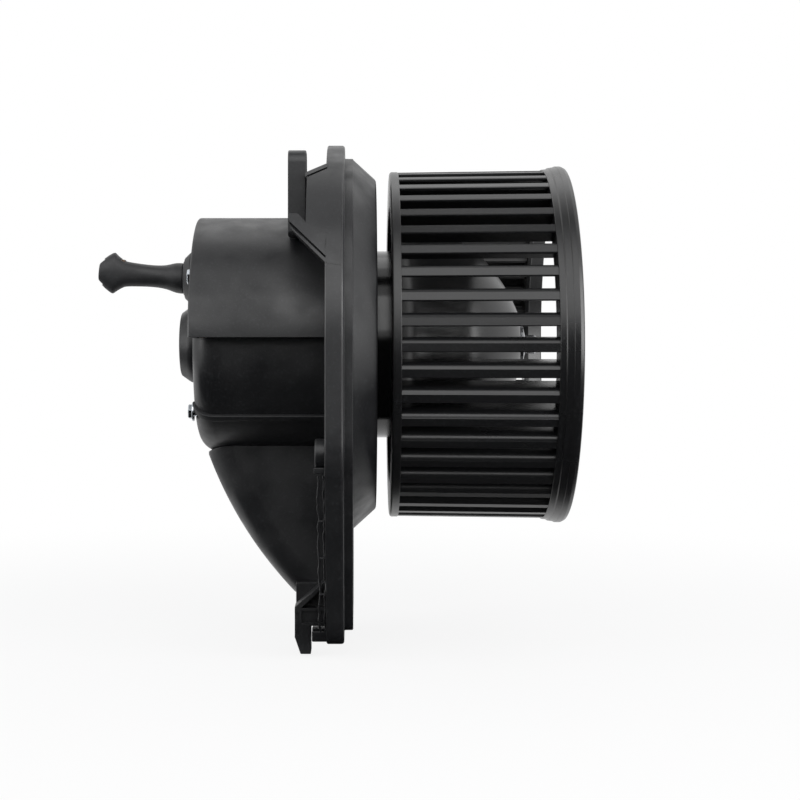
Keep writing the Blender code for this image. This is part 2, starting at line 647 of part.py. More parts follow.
def add_clip(flange):
    """The hook at the foot, with its gusset, which hangs in a slot of the air housing."""
    low, high = CLIP_Y - CLIP_WIDTH / 2, CLIP_Y + CLIP_WIDTH / 2
    root = SPIGOT_HEIGHT - FLANGE_ROOF + OVERLAP / 2
    side = [
        (root, -CLIP_TOP), (-FLANGE_DEPTH - LEDGE, -CLIP_TOP), (-CLIP_BACK, -CLIP_SHOULDER),
        (-CLIP_BACK, -CLIP_HEEL), (-CLIP_LEG_BACK, -CLIP_TIP), (-CLIP_LEG_FRONT, -CLIP_TIP),
        (-CLIP_LEG_FRONT, -CLIP_SHELF), (root, -CLIP_SHELF),
    ]
    join(flange, flat_solid("clip", [side], low, high, "XZ"))
    wall = CLIP_POCKET_WALL
    pocket = [
        (-FLANGE_DEPTH - wall, -CLIP_TOP - 2 * wall), (-CLIP_LEG_BACK + wall, -CLIP_SHOULDER),
        (-FLANGE_DEPTH - wall, -CLIP_SHOULDER),
    ]
    cut(flange, flat_solid("clip_pocket", [pocket], low - OVERLAP, CLIP_Y, "XZ"))


def mounting_flange():
    corners = flange_corners()
    flange = flat_solid("mounting_flange", [rounded(corners)], -FLANGE_DEPTH, 0.0, "YZ",
                        BLACK_NYLON)
    spigot = rounded(inset(corners, SEAT_WIDTH))
    join(flange, flat_solid("spigot", [spigot], -OVERLAP, SPIGOT_HEIGHT, "YZ"))
    join(flange, turned("bowl", bowl_profile(0.0), solid=True, segments=48))
    cut(flange, flange_pocket())
    plate = -FLANGE_DEPTH + FLANGE_ROOF
    cut(flange, turned_ring("damper_room", plate, BOWL_HEIGHT - FLANGE_ROOF, OVERLAP,
                            TOWER_RADIUS - TOWER_WALL, segments=36))
    cut(flange, turned_disc("can_hole", -FLANGE_DEPTH - OVERLAP, BOWL_HEIGHT + OVERLAP, CAN_HOLE,
                            segments=36))
    cut(flange, block("air_hole", (-FLANGE_DEPTH - OVERLAP, -AIR_HOLE_HALF, -AIR_HOLE_BOTTOM),
                      (BOWL_HEIGHT + OVERLAP, AIR_HOLE_HALF, -AIR_HOLE_TOP)))
    add_ear(flange)
    add_boss(flange)
    add_clip(flange)
    return flange


# ---------------------------------------------------------------- motor housing

def half_space(name, above, height):
    """A large block that lies above or below a height, for halving turned shapes."""
    size = 4 * COVER_END
    low, high = (height, size) if above else (-size, height)
    return block(name, (-size, -size, low), (size, size, high))


def screw_holes(target, rows):
    for row in rows:
        y, z = screw_spot(row)
        hole = turned_disc("hole_" + row, -COVER_END - 2 * OVERLAP,
                           -END_FRAME_BACK + 2 * END_FRAME_THICKNESS, SCREW_RADIUS + GAP,
                           segments=12, y=y, z=z)
        cut(target, hole)


def screw_seats(target, rows):
    """Clear the ribs from under the screw heads."""
    for row in rows:
        y, z = screw_spot(row)
        seat = turned_disc("seat_" + row, -COVER_END - 2 * SCREW_HEAD_HEIGHT,
                           -SHELL_END - GAP / 2, SCREW_HEAD_RADIUS + GAP, segments=16, y=y, z=z)
        cut(target, seat)


def screw_spot(row):
    angle = radians(SCREW_ANGLES[row])
    return SCREW_PITCH_RADIUS * sin(angle), -SCREW_PITCH_RADIUS * cos(angle)


def upper_cover():
    """Half a drum with an end wall, and a floor strip along each side."""
    back = -COVER_END
    line = [(-COVER_FRONT, 0.0), (-COVER_FRONT, COVER_RADIUS), (back + COVER_EDGE, COVER_RADIUS)]
    line += [(back + COVER_EDGE * 0.3, COVER_RADIUS - COVER_EDGE * 0.3)]
    line += [(back, COVER_RADIUS - COVER_EDGE), (back, 0.0)]
    cover = turned("upper_cover", line, BLACK_NYLON, 52, solid=True)
    room = turned_disc("cover_room", back + HOUSING_WALL, OVERLAP, COVER_RADIUS - HOUSING_WALL,
                       segments=52)
    cut(room, half_space("cover_room_floor", False, COVER_FLOOR + HOUSING_WALL))
    cut(cover, room)
    cut(cover, turned_disc("cover_channel", back + HOUSING_WALL, OVERLAP, MOTOR_SPACE,
                           segments=40))
    cut(cover, half_space("cover_underside", False, COVER_FLOOR))
    cut(cover, turned_disc("cover_cap_hole", back - OVERLAP, 0.0, BEARING_CAP_RADIUS + GAP))
    cut(cover, turned_disc("cover_gland_hole", back - OVERLAP, back + 2 * HOUSING_WALL,
                           GLAND_NECK + GAP, segments=24, z=LEAD_Z))
    screw_holes(cover, ("upper_near", "upper_far"))
    return cover


def shell_line(radius, end, edge):
    """From the open front, along the drum and round its back edge, to the axis."""
    corner = arc((-end + edge, radius - edge), edge, 90.0, 180.0, 3)
    return [(-COVER_FRONT, 0.0), (-COVER_FRONT, radius)] + corner + [(-end, 0.0)]


def lower_shell():
    """The lower half drum, with its lengthways ribs and the port into the cooling duct."""
    shell = turned("lower_shell", shell_line(SHELL_RADIUS, SHELL_END, SHELL_EDGE), BLACK_NYLON, 48,
                   solid=True)
    for side in (-1, 1):
        add_shell_rib(shell, side)
    inner = shell_line(MOTOR_SPACE, SHELL_END - HOUSING_WALL, SHELL_EDGE - HOUSING_WALL)
    inner[0] = (OVERLAP, 0.0)
    inner[1] = (OVERLAP, MOTOR_SPACE)
    cut(shell, turned("shell_room", inner, solid=True, segments=48))
    cut(shell, half_space("shell_top", True, COVER_FLOOR - GAP))
    cut(shell, turned_disc("shell_cap_hole", -SHELL_END - OVERLAP, 0.0,
                           BEARING_CAP_RADIUS + GAP))
    port_half = DUCT_HALF - DUCT_WALL - DUCT_EDGE / 2
    cut(shell, block("shell_port", (-SHELL_PORT_BACK, -port_half, -2 * SHELL_RADIUS),
                     (-SHELL_PORT_FRONT, port_half, -SHELL_RADIUS / 2)))
    screw_holes(shell, ("lower_near", "lower_far"))
    screw_seats(shell, ("lower_near", "lower_far"))
    return shell


def add_shell_rib(shell, side):
    """A rib that runs along the drum's side and bends round its back edge."""
    outer = shell_line(SHELL_RADIUS + SHELL_RIB_HEIGHT, SHELL_END + SHELL_RIB_HEIGHT / 2,
                       SHELL_EDGE + SHELL_RIB_HEIGHT / 2)[1:-1]
    inner = shell_line(SHELL_RADIUS - HOUSING_WALL / 2, SHELL_END - HOUSING_WALL / 2,
                       SHELL_EDGE - HOUSING_WALL / 2)[1:-1]
    outer[0] = (-COVER_FRONT - LEDGE, outer[0][1])
    inner[0] = (-COVER_FRONT - LEDGE, inner[0][1])
    half = SHELL_RIB_THICKNESS / 2
    name = "shell_rib_near" if side < 0 else "shell_rib_far"
    rib = flat_solid(name, [outer + inner[::-1]], -half, half, "XZ")
    swing = Matrix.Rotation(-side * radians(90.0 + SHELL_RIB_DEG), 4, "X")
    rib.matrix_world = swing @ rib.matrix_world
    join(shell, rib)


# ---------------------------------------------------------------- cooling duct

def duct_outline(wall):
    """Side view of the duct: a curved back wall from the drum down to the flange."""
    (back, top), (front, foot) = DUCT_BACK, DUCT_FRONT
    start, end = Vector((-back, -top)), Vector((-front, -foot))
    chord = end - start
    outward = Vector((chord.y, -chord.x)).normalized()
    if outward.y > 0:
        outward.negate()
    steps = 9
    curve = []
    for step in range(steps + 1):
        part = step / steps
        bulge = 4 * part * (1 - part) * DUCT_BULGE - wall
        curve.append(tuple(start + chord * part + outward * bulge))
    overlap = OVERLAP if wall else 0.0
    seat = -COVER_FRONT + overlap
    lid = -top / 2
    return [(curve[0][0], lid)] + curve + [(seat, -DUCT_FOOT + wall), (seat, lid)]


def cooling_duct():
    duct = flat_solid("cooling_duct", [duct_outline(0.0)], -DUCT_HALF, DUCT_HALF, "XZ",
                      BLACK_NYLON)
    round_long_edges(duct, DUCT_EDGE)
    side = DUCT_HALF - DUCT_WALL
    room = flat_solid("duct_room", [duct_outline(DUCT_WALL)], -side, side, "XZ")
    round_long_edges(room, DUCT_EDGE - DUCT_WALL)
    cut(duct, room)
    cut(duct, turned_disc("duct_saddle", -SHELL_END - OVERLAP, -COVER_FRONT + 2 * OVERLAP,
                          SHELL_RADIUS + GAP, segments=44))
    return duct


def round_long_edges(thing, width):
    """Round the two edges along the curved back wall, and no others."""
    mesh = thing.data
    shape = bmesh.new()
    shape.from_mesh(mesh)
    weight = shape.edges.layers.float.new("bevel_weight_edge")
    back, front = -DUCT_BACK[0] - DUCT_BULGE, -DUCT_FRONT[0] + DUCT_BULGE
    top, foot = -DUCT_BACK[1] / 2, -DUCT_FRONT[1] - DUCT_BULGE
    for edge in shape.edges:
        ends = [thing.matrix_world @ vertex.co for vertex in edge.verts]
        along = abs(ends[0].y - ends[1].y) < MM and len(edge.link_faces) == 2
        flat = along and abs(edge.link_faces[0].normal.dot(edge.link_faces[1].normal)) < 0.5
        on_back = all(back < end.x < front and foot < end.z < top + MM for end in ends)
        if flat and on_back and abs(ends[0].x - ends[1].x) < DUCT_FRONT[0]:
            edge[weight] = 1.0
    shape.to_mesh(mesh)
    shape.free()
    bevel = thing.modifiers.new("long_edges", "BEVEL")
    bevel.limit_method = "WEIGHT"
    bevel.width = width
    bevel.segments = 3


# ---------------------------------------------------------------- rear fittings

def rear_screw(row):
    y, z = screw_spot(row)
    wall = -COVER_END if row.startswith("upper") else -SHELL_END
    face = wall - GAP
    top = face - SCREW_HEAD_HEIGHT
    tip = -END_FRAME_BACK + END_FRAME_THICKNESS - GAP
    socket, depth = SCREW_SOCKET
    line = [
        (top + depth, 0.0), (top + depth, socket), (top, socket),
        (top, SCREW_HEAD_RADIUS * 0.75), (top + SCREW_HEAD_HEIGHT * 0.4, SCREW_HEAD_RADIUS),
        (face, SCREW_HEAD_RADIUS), (face, SCREW_RADIUS), (tip, SCREW_RADIUS), (tip, 0.0),
    ]
    return turned("housing_screw_" + row, line, ZINC, 14, solid=True, y=y, z=z)


def rear_bearing_cap():
    """The round cap behind the motor, over the end of the shaft."""
    radius, end, edge = BEARING_CAP_RADIUS, BEARING_CAP_END, BEARING_CAP_EDGE
    foot = -END_FRAME_BACK - GAP
    inner_radius = BEARING_RADIUS + GAP + BEARING_SEAT_WALL + GAP
    line = [(-end + BEARING_CAP_WALL, 0.0), (-end + BEARING_CAP_WALL, inner_radius)]
    line += [(foot, inner_radius), (foot, radius)]
    line += arc((-end + edge, radius - edge), edge, 90.0, 180.0, 3) + [(-end, 0.0)]
    return turned("rear_bearing_cap", line, BLACK_NYLON, 30, solid=True)


def lead_gland():
    """The round rubber grommet that carries the leads through the end wall."""
    face = -COVER_END - GAP
    end = -GLAND_END
    inside = -COVER_END + HOUSING_WALL
    loop = [
        (inside, LEAD_BORE + GAP), (inside, GLAND_NECK), (face, GLAND_NECK), (face, GLAND_RADIUS),
        (end + GLAND_CHAMFER, GLAND_RADIUS), (end, GLAND_RADIUS - GLAND_CHAMFER),
        (end, LEAD_BORE + GAP),
    ]
    return turned("lead_gland", loop, RUBBER, 24, z=LEAD_Z)


def boot_axis(part):
    return BOOT_START - part * BOOT_LENGTH, LEAD_Z + part * BOOT_RISE


def lead_boot():
    """A moulded rubber sleeve for the leads, with a fishtail mouth: a loft of oval sections."""
    shape = bmesh.new()
    rings = []
    for part, high, wide in BOOT_STATIONS:
        x, z = boot_axis(part)
        ring = []
        for side in range(BOOT_SIDES):
            turn = 2 * pi * side / BOOT_SIDES
            ring.append(shape.verts.new((x, wide * cos(turn), z + high * sin(turn))))
        rings.append(ring)
    for first, second in zip(rings, rings[1:]):
        for side in range(BOOT_SIDES):
            after = (side + 1) % BOOT_SIDES
            shape.faces.new((first[side], first[after], second[after], second[side]))
    shape.faces.new(rings[0])
    shape.faces.new(rings[-1])
    bmesh.ops.recalc_face_normals(shape, faces=shape.faces)
    mesh = bpy.data.meshes.new("lead_boot")
    shape.to_mesh(mesh)
    shape.free()
    smooth(mesh, 40.0)
    boot = place("lead_boot", mesh, PARTS, RUBBER, Matrix.Identity(4), None)
    slope = atan2(BOOT_RISE, BOOT_LENGTH)
    middle_x, middle_z = boot_axis(0.5)
    reach = BOOT_LENGTH
    bore = turned_disc("boot_bore", -reach, reach, LEAD_BORE, segments=20)
    bore.matrix_world = Matrix.Translation((middle_x, 0.0, middle_z)) @ Matrix.Rotation(
        slope, 4, "Y") @ axis_matrix()
    cut(boot, bore)
    width, height = MOUTH_SIZE
    end_x, end_z = boot_axis(1.0)
    cut(boot, block("boot_mouth", (end_x - OVERLAP, -width / 2, end_z - height / 2),
                    (end_x + MOUTH_DEPTH, width / 2, end_z + height / 2)))
    return boot


def connector_insert():
    """The plastic block in the boot's mouth that carries the two terminals."""
    width, height = MOUTH_SIZE
    end_x, end_z = boot_axis(1.0)
    back = end_x + MOUTH_DEPTH - GAP
    half_width, half_height = width / 2 - GAP, height / 2 - GAP
    insert = block("connector_insert", (back - INSERT_DEPTH, -half_width, end_z - half_height),
                   (back, half_width, end_z + half_height), PHENOLIC)
    for side, name in ((-1, "terminal_slot_negative"), (1, "terminal_slot_positive")):
        low, high = terminal_corners(side, GAP)
        cut(insert, block(name, low, high))
    return insert


def terminal_corners(side, clearance):
    length, thick, tall = TERMINAL_SIZE
    end_x, end_z = boot_axis(1.0)
    back = end_x + MOUTH_DEPTH - 2 * GAP
    z = end_z + side * TERMINAL_SPREAD
    half = (thick / 2 + clearance, tall / 2 + clearance)
    reach = OVERLAP if clearance else 0.0
    return ((back - length, -half[0], z - half[1]), (back + reach, half[0], z + half[1]))


def lead(side):
    """One lead, from the brush plate through the end frame, gland and boot to its terminal."""
    y = side * LEAD_SPREAD
    end_x = boot_axis(1.0)[0] + MOUTH_DEPTH + GAP
    last = (BOOT_START - end_x) / BOOT_LENGTH
    route = [(-BRUSH_PLATE_BACK - GAP, y, LEAD_Z), (-COVER_END, y, LEAD_Z)]
    for part in (0.0, 0.33 * last, 0.67 * last, last):
        x, z = boot_axis(part)
        route.append((x, y, z))
    name = "lead_positive" if side > 0 else "lead_negative"
    return tube(name, route, LEAD_RADIUS, RED_WIRE if side > 0 else BLACK_WIRE)


# ---------------------------------------------------------------- motor

def motor_can():
    """A drawn steel cup, with the front bearing's seat in its closed end."""
    seat = BEARING_RADIUS + GAP
    neck = seat + BEARING_SEAT_WALL
    front, wall = CAN_FRONT, CAN_WALL
    tip = front + BEARING_SEAT_HEIGHT
    outer_edge = arc((front - CAN_EDGE, CAN_RADIUS - CAN_EDGE), CAN_EDGE, 90.0, 0.0, 2)
    inner_edge = arc((front - CAN_EDGE, CAN_RADIUS - CAN_EDGE), CAN_EDGE - wall, 0.0, 90.0, 2)
    loop = [(-CAN_BACK, CAN_BORE), (-CAN_BACK, CAN_RADIUS)] + outer_edge
    loop += [(front, neck), (tip, neck), (tip, LOOSE_BORE), (tip - wall, LOOSE_BORE)]
    loop += [(tip - wall, seat), (front - wall, seat)] + inner_edge
    return turned("motor_can", loop, BLACKED_STEEL, 44)


def motor_end_frame():
    """The plate that closes the can's open end, carries the rear bearing and takes the screws."""
    seat = BEARING_RADIUS + GAP
    neck = seat + BEARING_SEAT_WALL
    back = -END_FRAME_BACK
    face = back + END_FRAME_THICKNESS
    tube_end = -BEARING_CAP_END + BEARING_CAP_WALL + GAP
    outer = MOTOR_SPACE - GAP
    spigot = CAN_BORE - GAP
    rim = arc((back + SHELL_EDGE - HOUSING_WALL, outer - SHELL_EDGE + HOUSING_WALL),
              SHELL_EDGE - HOUSING_WALL, 180.0, 180.0 - frame_rim_angle(), 2)
    loop = [(tube_end, LOOSE_BORE), (tube_end, neck), (back, neck)] + rim
    loop += [(face, rim[-1][1]), (face, spigot), (face + END_FRAME_SPIGOT, spigot),
             (face + END_FRAME_SPIGOT, spigot - END_FRAME_SPIGOT_WALL),
             (face, spigot - END_FRAME_SPIGOT_WALL), (face, seat),
             (tube_end + CAN_WALL, seat), (tube_end + CAN_WALL, LOOSE_BORE)]
    frame = turned("motor_end_frame", loop, PHENOLIC, 30)
    cut(frame, turned_disc("lead_hole", back - OVERLAP, face + END_FRAME_SPIGOT,
                           LEAD_BORE + GAP, segments=12, z=LEAD_Z))
    for row in SCREW_ANGLES:
        y, z = screw_spot(row)
        cut(frame, turned_disc("frame_hole_" + row, back - OVERLAP, face + OVERLAP,
                               SCREW_RADIUS + GAP, segments=12, y=y, z=z))
    return frame


def frame_rim_angle():
    """How far the end frame's rim follows the housing's rounded back edge, in degrees."""
    edge = SHELL_EDGE - HOUSING_WALL
    return degrees(acos(1 - END_FRAME_THICKNESS / edge))


def magnet(side, name):
    """An arc of ferrite, above or below the armature."""
    outer = CAN_BORE - GAP
    piece = turned_ring(name, -MAGNET_BACK, MAGNET_FRONT, MAGNET_BORE, outer, FERRITE, 44)
    height = side * MAGNET_GAP
    cut(piece, half_space(name + "_side", side < 0, height))
    return piece


def magnet_clip(side, name):
    """A bent spring strip that wedges the two magnets apart."""
    outer = CAN_BORE - GAP
    inner = outer - MAGNET_THICKNESS * 0.6
    half = MAGNET_GAP - GAP
    wall = MAGNET_CLIP_WALL
    reach = side * (outer - 2 * wall)
    foot = side * inner
    outline = [
        (foot, -half), (reach, -half), (reach, half), (foot, half), (foot, half - wall),
        (reach - side * wall, half - wall), (reach - side * wall, wall - half),
        (foot, wall - half),
    ]
    return flat_solid(name, [outline], -MAGNET_BACK, MAGNET_FRONT, "YZ", SPRING_STEEL)


def bearing(name, start):
    """A sintered bush with a crowned outside."""
    length, crown = BEARING_LENGTH, BEARING_RADIUS * BEARING_CROWN
    loop = [
        (start, BEARING_BORE), (start, crown), (start + 0.3 * length, BEARING_RADIUS),
        (start + 0.7 * length, BEARING_RADIUS), (start + length, crown),
        (start + length, BEARING_BORE),
    ]
    return turned(name, loop, BRONZE, 24)


def shaft(rotor):
    chamfer = SHAFT_CHAMFER
    back = -BEARING_CAP_END + BEARING_CAP_WALL + GAP + CAN_WALL + GAP
    line = [
        (back, 0.0), (back, SHAFT_RADIUS - chamfer), (back + chamfer, SHAFT_RADIUS),
        (SHAFT_FRONT - chamfer, SHAFT_RADIUS), (SHAFT_FRONT, SHAFT_RADIUS - chamfer),
        (SHAFT_FRONT, 0.0),
    ]
    return turned("motor_shaft", line, GROUND_STEEL, 24, solid=True, parent=rotor)


def armature_core(rotor):
    """The slotted stack of laminations."""
    tip = CORE_RADIUS - TOOTH_TIP
    bore = SHAFT_RADIUS + GAP
    outline = []
    for slot in range(SLOT_COUNT):
        middle = 360.0 * (slot + 0.5) / SLOT_COUNT
        half_pitch = 180.0 / SLOT_COUNT
        opening = degrees(SLOT_OPENING / 2 / CORE_RADIUS)
        shoulder = half_pitch - degrees(TOOTH_WIDTH / 2 / tip)
        root = half_pitch - degrees(TOOTH_WIDTH / 2 / SLOT_ROOT_RADIUS)
        for angle, radius in (
            (-half_pitch, CORE_RADIUS), (-opening, CORE_RADIUS), (-opening, tip),
            (-shoulder, tip - TOOTH_TIP / 2), (-root, SLOT_ROOT_RADIUS),
            (root, SLOT_ROOT_RADIUS), (shoulder, tip - TOOTH_TIP / 2), (opening, tip),
            (opening, CORE_RADIUS),
        ):
            outline.append(around(radius, middle + angle))
    hole = [around(bore, 360.0 * i / 20) for i in range(20)]
    return flat_solid("armature_core", [outline, hole], -CORE_BACK, CORE_FRONT, "YZ", LAMINATION,
                      rotor)


def armature_winding(rotor):
    """Both end turns, joined through the slots."""
    rear = end_turn("armature_winding", -CORE_BACK - GAP, -1, COPPER, rotor)
    front = end_turn("front_end_turn", CORE_FRONT + GAP, 1)
    join(rear, front)
    reach = WINDING_OVERHANG / 2
    bars = [
        [around_point(WINDING_BAR_PITCH_RADIUS, 360.0 * (slot + 0.5) / SLOT_COUNT,
                      WINDING_BAR_RADIUS, 60.0 * side) for side in range(6)]
        for slot in range(SLOT_COUNT)
    ]
    join(rear, flat_solid("slot_bars", bars, -CORE_BACK - reach, CORE_FRONT + reach, "YZ"))
    return rear


def around_point(pitch, pitch_deg, radius, angle_deg):
    centre = around(pitch, pitch_deg)
    offset = around(radius, pitch_deg + angle_deg)
    return centre[0] + offset[0], centre[1] + offset[1]


def end_turn(name, face, direction, look=None, parent=None):
    far = face + direction * WINDING_OVERHANG
    edge = direction * WINDING_OVERHANG * 0.35
    inset_radius = WINDING_OVERHANG * 0.35
    loop = [
        (face, WINDING_INNER), (face, WINDING_OUTER), (far - edge, WINDING_OUTER),
        (far, WINDING_OUTER - inset_radius), (far, WINDING_INNER + inset_radius),
        (far - edge, WINDING_INNER),
    ]
    return turned(name, loop, look, 24, parent=parent)


def commutator(rotor):
    """The copper drum, slotted into bars, with its raised end next to the winding."""
    riser_radius, riser_length = COMMUTATOR_RISER
    riser = COMMUTATOR_FRONT + riser_length
    loop = [
        (-COMMUTATOR_BACK, SHAFT_RADIUS + GAP), (-COMMUTATOR_BACK, COMMUTATOR_RADIUS),
        (-riser, COMMUTATOR_RADIUS), (-riser, riser_radius),
        (-COMMUTATOR_FRONT, riser_radius), (-COMMUTATOR_FRONT, SHAFT_RADIUS + GAP),
    ]
    drum = turned("commutator", loop, COPPER, 36, parent=rotor)
    width, depth = COMMUTATOR_SLOT
    shape = bmesh.new()
    length = COMMUTATOR_BACK - COMMUTATOR_FRONT + 2 * OVERLAP
    for slot in range(SLOT_COUNT):
        matrix = (
            Matrix.Rotation(2 * pi * (slot + 0.5) / SLOT_COUNT, 4, "X")
            @ Matrix.Translation((0.0, 0.0, COMMUTATOR_RADIUS - depth + riser_radius / 2))
            @ Matrix.Diagonal((length, width, riser_radius, 1.0))
        )
        bmesh.ops.create_cube(shape, size=1.0, matrix=matrix)
    mesh = bpy.data.meshes.new("commutator_slots")
    shape.to_mesh(mesh)
    shape.free()
    middle = -(COMMUTATOR_BACK + COMMUTATOR_FRONT) / 2
    slots = place("commutator_slots", mesh, CUTTERS, None, Matrix.Translation((middle, 0, 0)), None)
    cut(drum, slots)
    return drum


# ---------------------------------------------------------------- brush gear

def brush_room(clearance):
    """Half sizes along X and Y of a brush with some clearance round it."""
    return BRUSH_SIZE[0] / 2 + clearance, BRUSH_SIZE[1] / 2 + clearance


def brush_foot():
    return COMMUTATOR_RADIUS + GAP


def spring_seat():
    return brush_foot() + BRUSH_SIZE[2] + GAP + SPRING_LENGTH + GAP


def brush_plate():
    """The moulded disc with a guide tube for each brush."""
    spigot = CAN_BORE - GAP - END_FRAME_SPIGOT_WALL
    front = -BRUSH_PLATE_BACK + BRUSH_PLATE_THICKNESS
    plate = turned_ring("brush_plate", -BRUSH_PLATE_BACK, front,
                        COMMUTATOR_RADIUS + BRUSH_PLATE_CLEARANCE, spigot - GAP, PHENOLIC, 36)
    half_x, half_y = brush_room(GAP)
    wall = BRUSH_TUBE_WALL
    for side, name in ((1, "upper"), (-1, "lower")):
        ends = sorted((side * BRUSH_TUBE_FOOT, side * (spring_seat() + wall)))
        join(plate, block(name + "_tube", (front - OVERLAP, -half_y - wall, ends[0]),
                          (BRUSH_CENTRE_X + half_x + wall, half_y + wall, ends[1])))
        ends = sorted((side * (BRUSH_TUBE_FOOT - OVERLAP), side * spring_seat()))
        cut(plate, block(name + "_tube_room", (BRUSH_CENTRE_X - half_x, -half_y, ends[0]),
                         (BRUSH_CENTRE_X + half_x, half_y, ends[1])))
    return plate


def brush(side, name, parent):
    half_x, half_y = brush_room(0.0)
    ends = sorted((side * brush_foot(), side * (brush_foot() + BRUSH_SIZE[2])))
    return block(name, (BRUSH_CENTRE_X - half_x, -half_y, ends[0]),
                 (BRUSH_CENTRE_X + half_x, half_y, ends[1]), CARBON, parent)


def brush_spring(side, name):
    """The coil spring behind a brush."""
    start = brush_foot() + BRUSH_SIZE[2] + GAP + SPRING_WIRE
    rise = SPRING_LENGTH - 2 * SPRING_WIRE
    points_per_turn = 8
    count = SPRING_TURNS * points_per_turn
    route = []
    for step in range(count + 1):
        turn = 2 * pi * step / points_per_turn
        route.append((BRUSH_CENTRE_X + SPRING_RADIUS * cos(turn), SPRING_RADIUS * sin(turn),
                      side * (start + rise * step / count)))
    return tube(name, route, SPRING_WIRE, SPRING_STEEL)


def choke(side, name):
    """An interference choke beside the commutator."""
    back = -BRUSH_PLATE_BACK + BRUSH_PLATE_THICKNESS + GAP
    waist = CHOKE_RADIUS * 0.7
    step = CHOKE_LENGTH * 0.16
    line = [
        (back, 0.0), (back, waist), (back + step, waist), (back + step, CHOKE_RADIUS),
        (back + CHOKE_LENGTH - step, CHOKE_RADIUS), (back + CHOKE_LENGTH - step, waist),
        (back + CHOKE_LENGTH, waist), (back + CHOKE_LENGTH, 0.0),
    ]
    return turned(name, line, COPPER, 14, solid=True, y=side * CHOKE_PITCH)


def capacitor():
    back = -BRUSH_PLATE_BACK + BRUSH_PLATE_THICKNESS + GAP
    length, width, height = CAPACITOR_SIZE
    y, z = around(CAPACITOR_PITCH, 45.0)
    return block("suppression_capacitor", (back, y - width / 2, z - height / 2),
                 (back + length, y + width / 2, z + height / 2), BRASS, bevel=0.8 * MM)


# ---------------------------------------------------------------- wheel

def dish_line():
    """(x, radius) along the dish's outside, from the back ring round the motor can to the hub."""
    bell = CAN_RADIUS + CAN_TO_DISH + DISH_WALL
    slope = bell - HUB_RADIUS
    return [
        (WHEEL_BACK + RING_THICKNESS, RING_INNER - GAP),
        (WHEEL_BACK + 2.5 * RING_THICKNESS, bell + 0.43 * (RING_INNER - bell)),
        (CAN_FRONT - 0.5 * CAN_EDGE, bell + 0.05 * (RING_INNER - bell)),
        (CAN_FRONT + 1.1 * CAN_EDGE, HUB_RADIUS + 0.9 * slope),
        (DISH_DEPTH - HUB_LENGTH, HUB_RADIUS + 0.68 * slope),
        (DISH_DEPTH - 0.46 * HUB_LENGTH, HUB_RADIUS + 0.405 * slope),
        (DISH_DEPTH - 0.1 * HUB_LENGTH, HUB_RADIUS + 0.14 * slope),
        (DISH_DEPTH, HUB_RADIUS),
    ]


def offset_line(line, distance):
    """Move an open (x, radius) line towards the axis, square to itself."""
    moved = []
    for i, point in enumerate(line):
        before = Vector(line[max(i - 1, 0)])
        after = Vector(line[min(i + 1, len(line) - 1)])
        along = (after - before).normalized()
        moved.append(tuple(Vector(point) + Vector((along.y, -along.x)) * distance))
    return moved


def blade_section():
    """One blade as (tangential, radial) points: a flat land outside, and a leaning root."""
    half = LAND_WIDTH / 2
    tip, root = LAND_RADIUS, LAND_RADIUS - BLADE_CHORD
    lean, thick = BLADE_LEAN, BLADE_ROOT
    return [
        (-half, tip), (half, tip), (0.8 * lean, root + 0.5 * BLADE_CHORD),
        (lean + thick / 2, root), (lean - thick / 2, root),
        (0.3 * lean, root + 0.55 * BLADE_CHORD), (-half, tip - LAND_THICKNESS),
    ]


def blade_outline(number):
    middle = radians(BLADE_PHASE_DEG + 360.0 * number / BLADE_COUNT)
    outline = []
    for aside, out in blade_section():
        y, z = -cos(middle) * out, sin(middle) * out
        outline.append((y + sin(middle) * aside, z + cos(middle) * aside))
    return outline


def blades(name, numbers):
    """Some of the blades, growing slightly towards the inlet."""
    back = WHEEL_BACK + RING_THICKNESS / 2
    outlines = [blade_outline(number) for number in numbers]
    group = flat_solid(name, outlines, back, RIM_START - GAP, "YZ")
    for vertex in group.data.vertices:
        if vertex.co.z > 0:
            vertex.co.x *= 1 + BLADE_TAPER
            vertex.co.y *= 1 + BLADE_TAPER
    return group


def ring_sector(first, last):
    """The back ring's outline under the blades from one number to another, cut midway between blades."""
    ends = [BLADE_PHASE_DEG + 360.0 * (number - 0.5) / BLADE_COUNT for number in (first, last + 1)]
    slit = GAP / 2
    count = 2 * (last + 1 - first)
    outline = []
    for radius, order in ((RING_RADIUS, 1), (RING_INNER, -1)):
        trim = degrees(slit / radius)
        low, high = ends[0] + trim, ends[1] - trim
        turns = [low + (high - low) * step / count for step in range(count + 1)]
        outline += [around(radius, turn) for turn in turns[::order]]
    return outline


def rim_loop():
    start, end, wall = RIM_START, RIM_END, RIM_WALL
    inner = RING_INNER - 0.2 * MM
    return [
        (start, inner), (start, RIM_BASE_RADIUS), (start + 2.2 * MM, RIM_BASE_RADIUS + 0.8 * MM),
        (end - 5.1 * MM, RIM_RADIUS - 0.5 * MM), (end - 1.7 * MM, RIM_RADIUS),
        (end, RIM_RADIUS - 0.8 * MM), (end, RIM_RADIUS - 1.9 * MM),
        (end - 2.9 * MM, RIM_RADIUS - wall - 0.6 * MM),
        (start + wall, RIM_BASE_RADIUS - 3.4 * MM), (start + wall, inner),
    ]


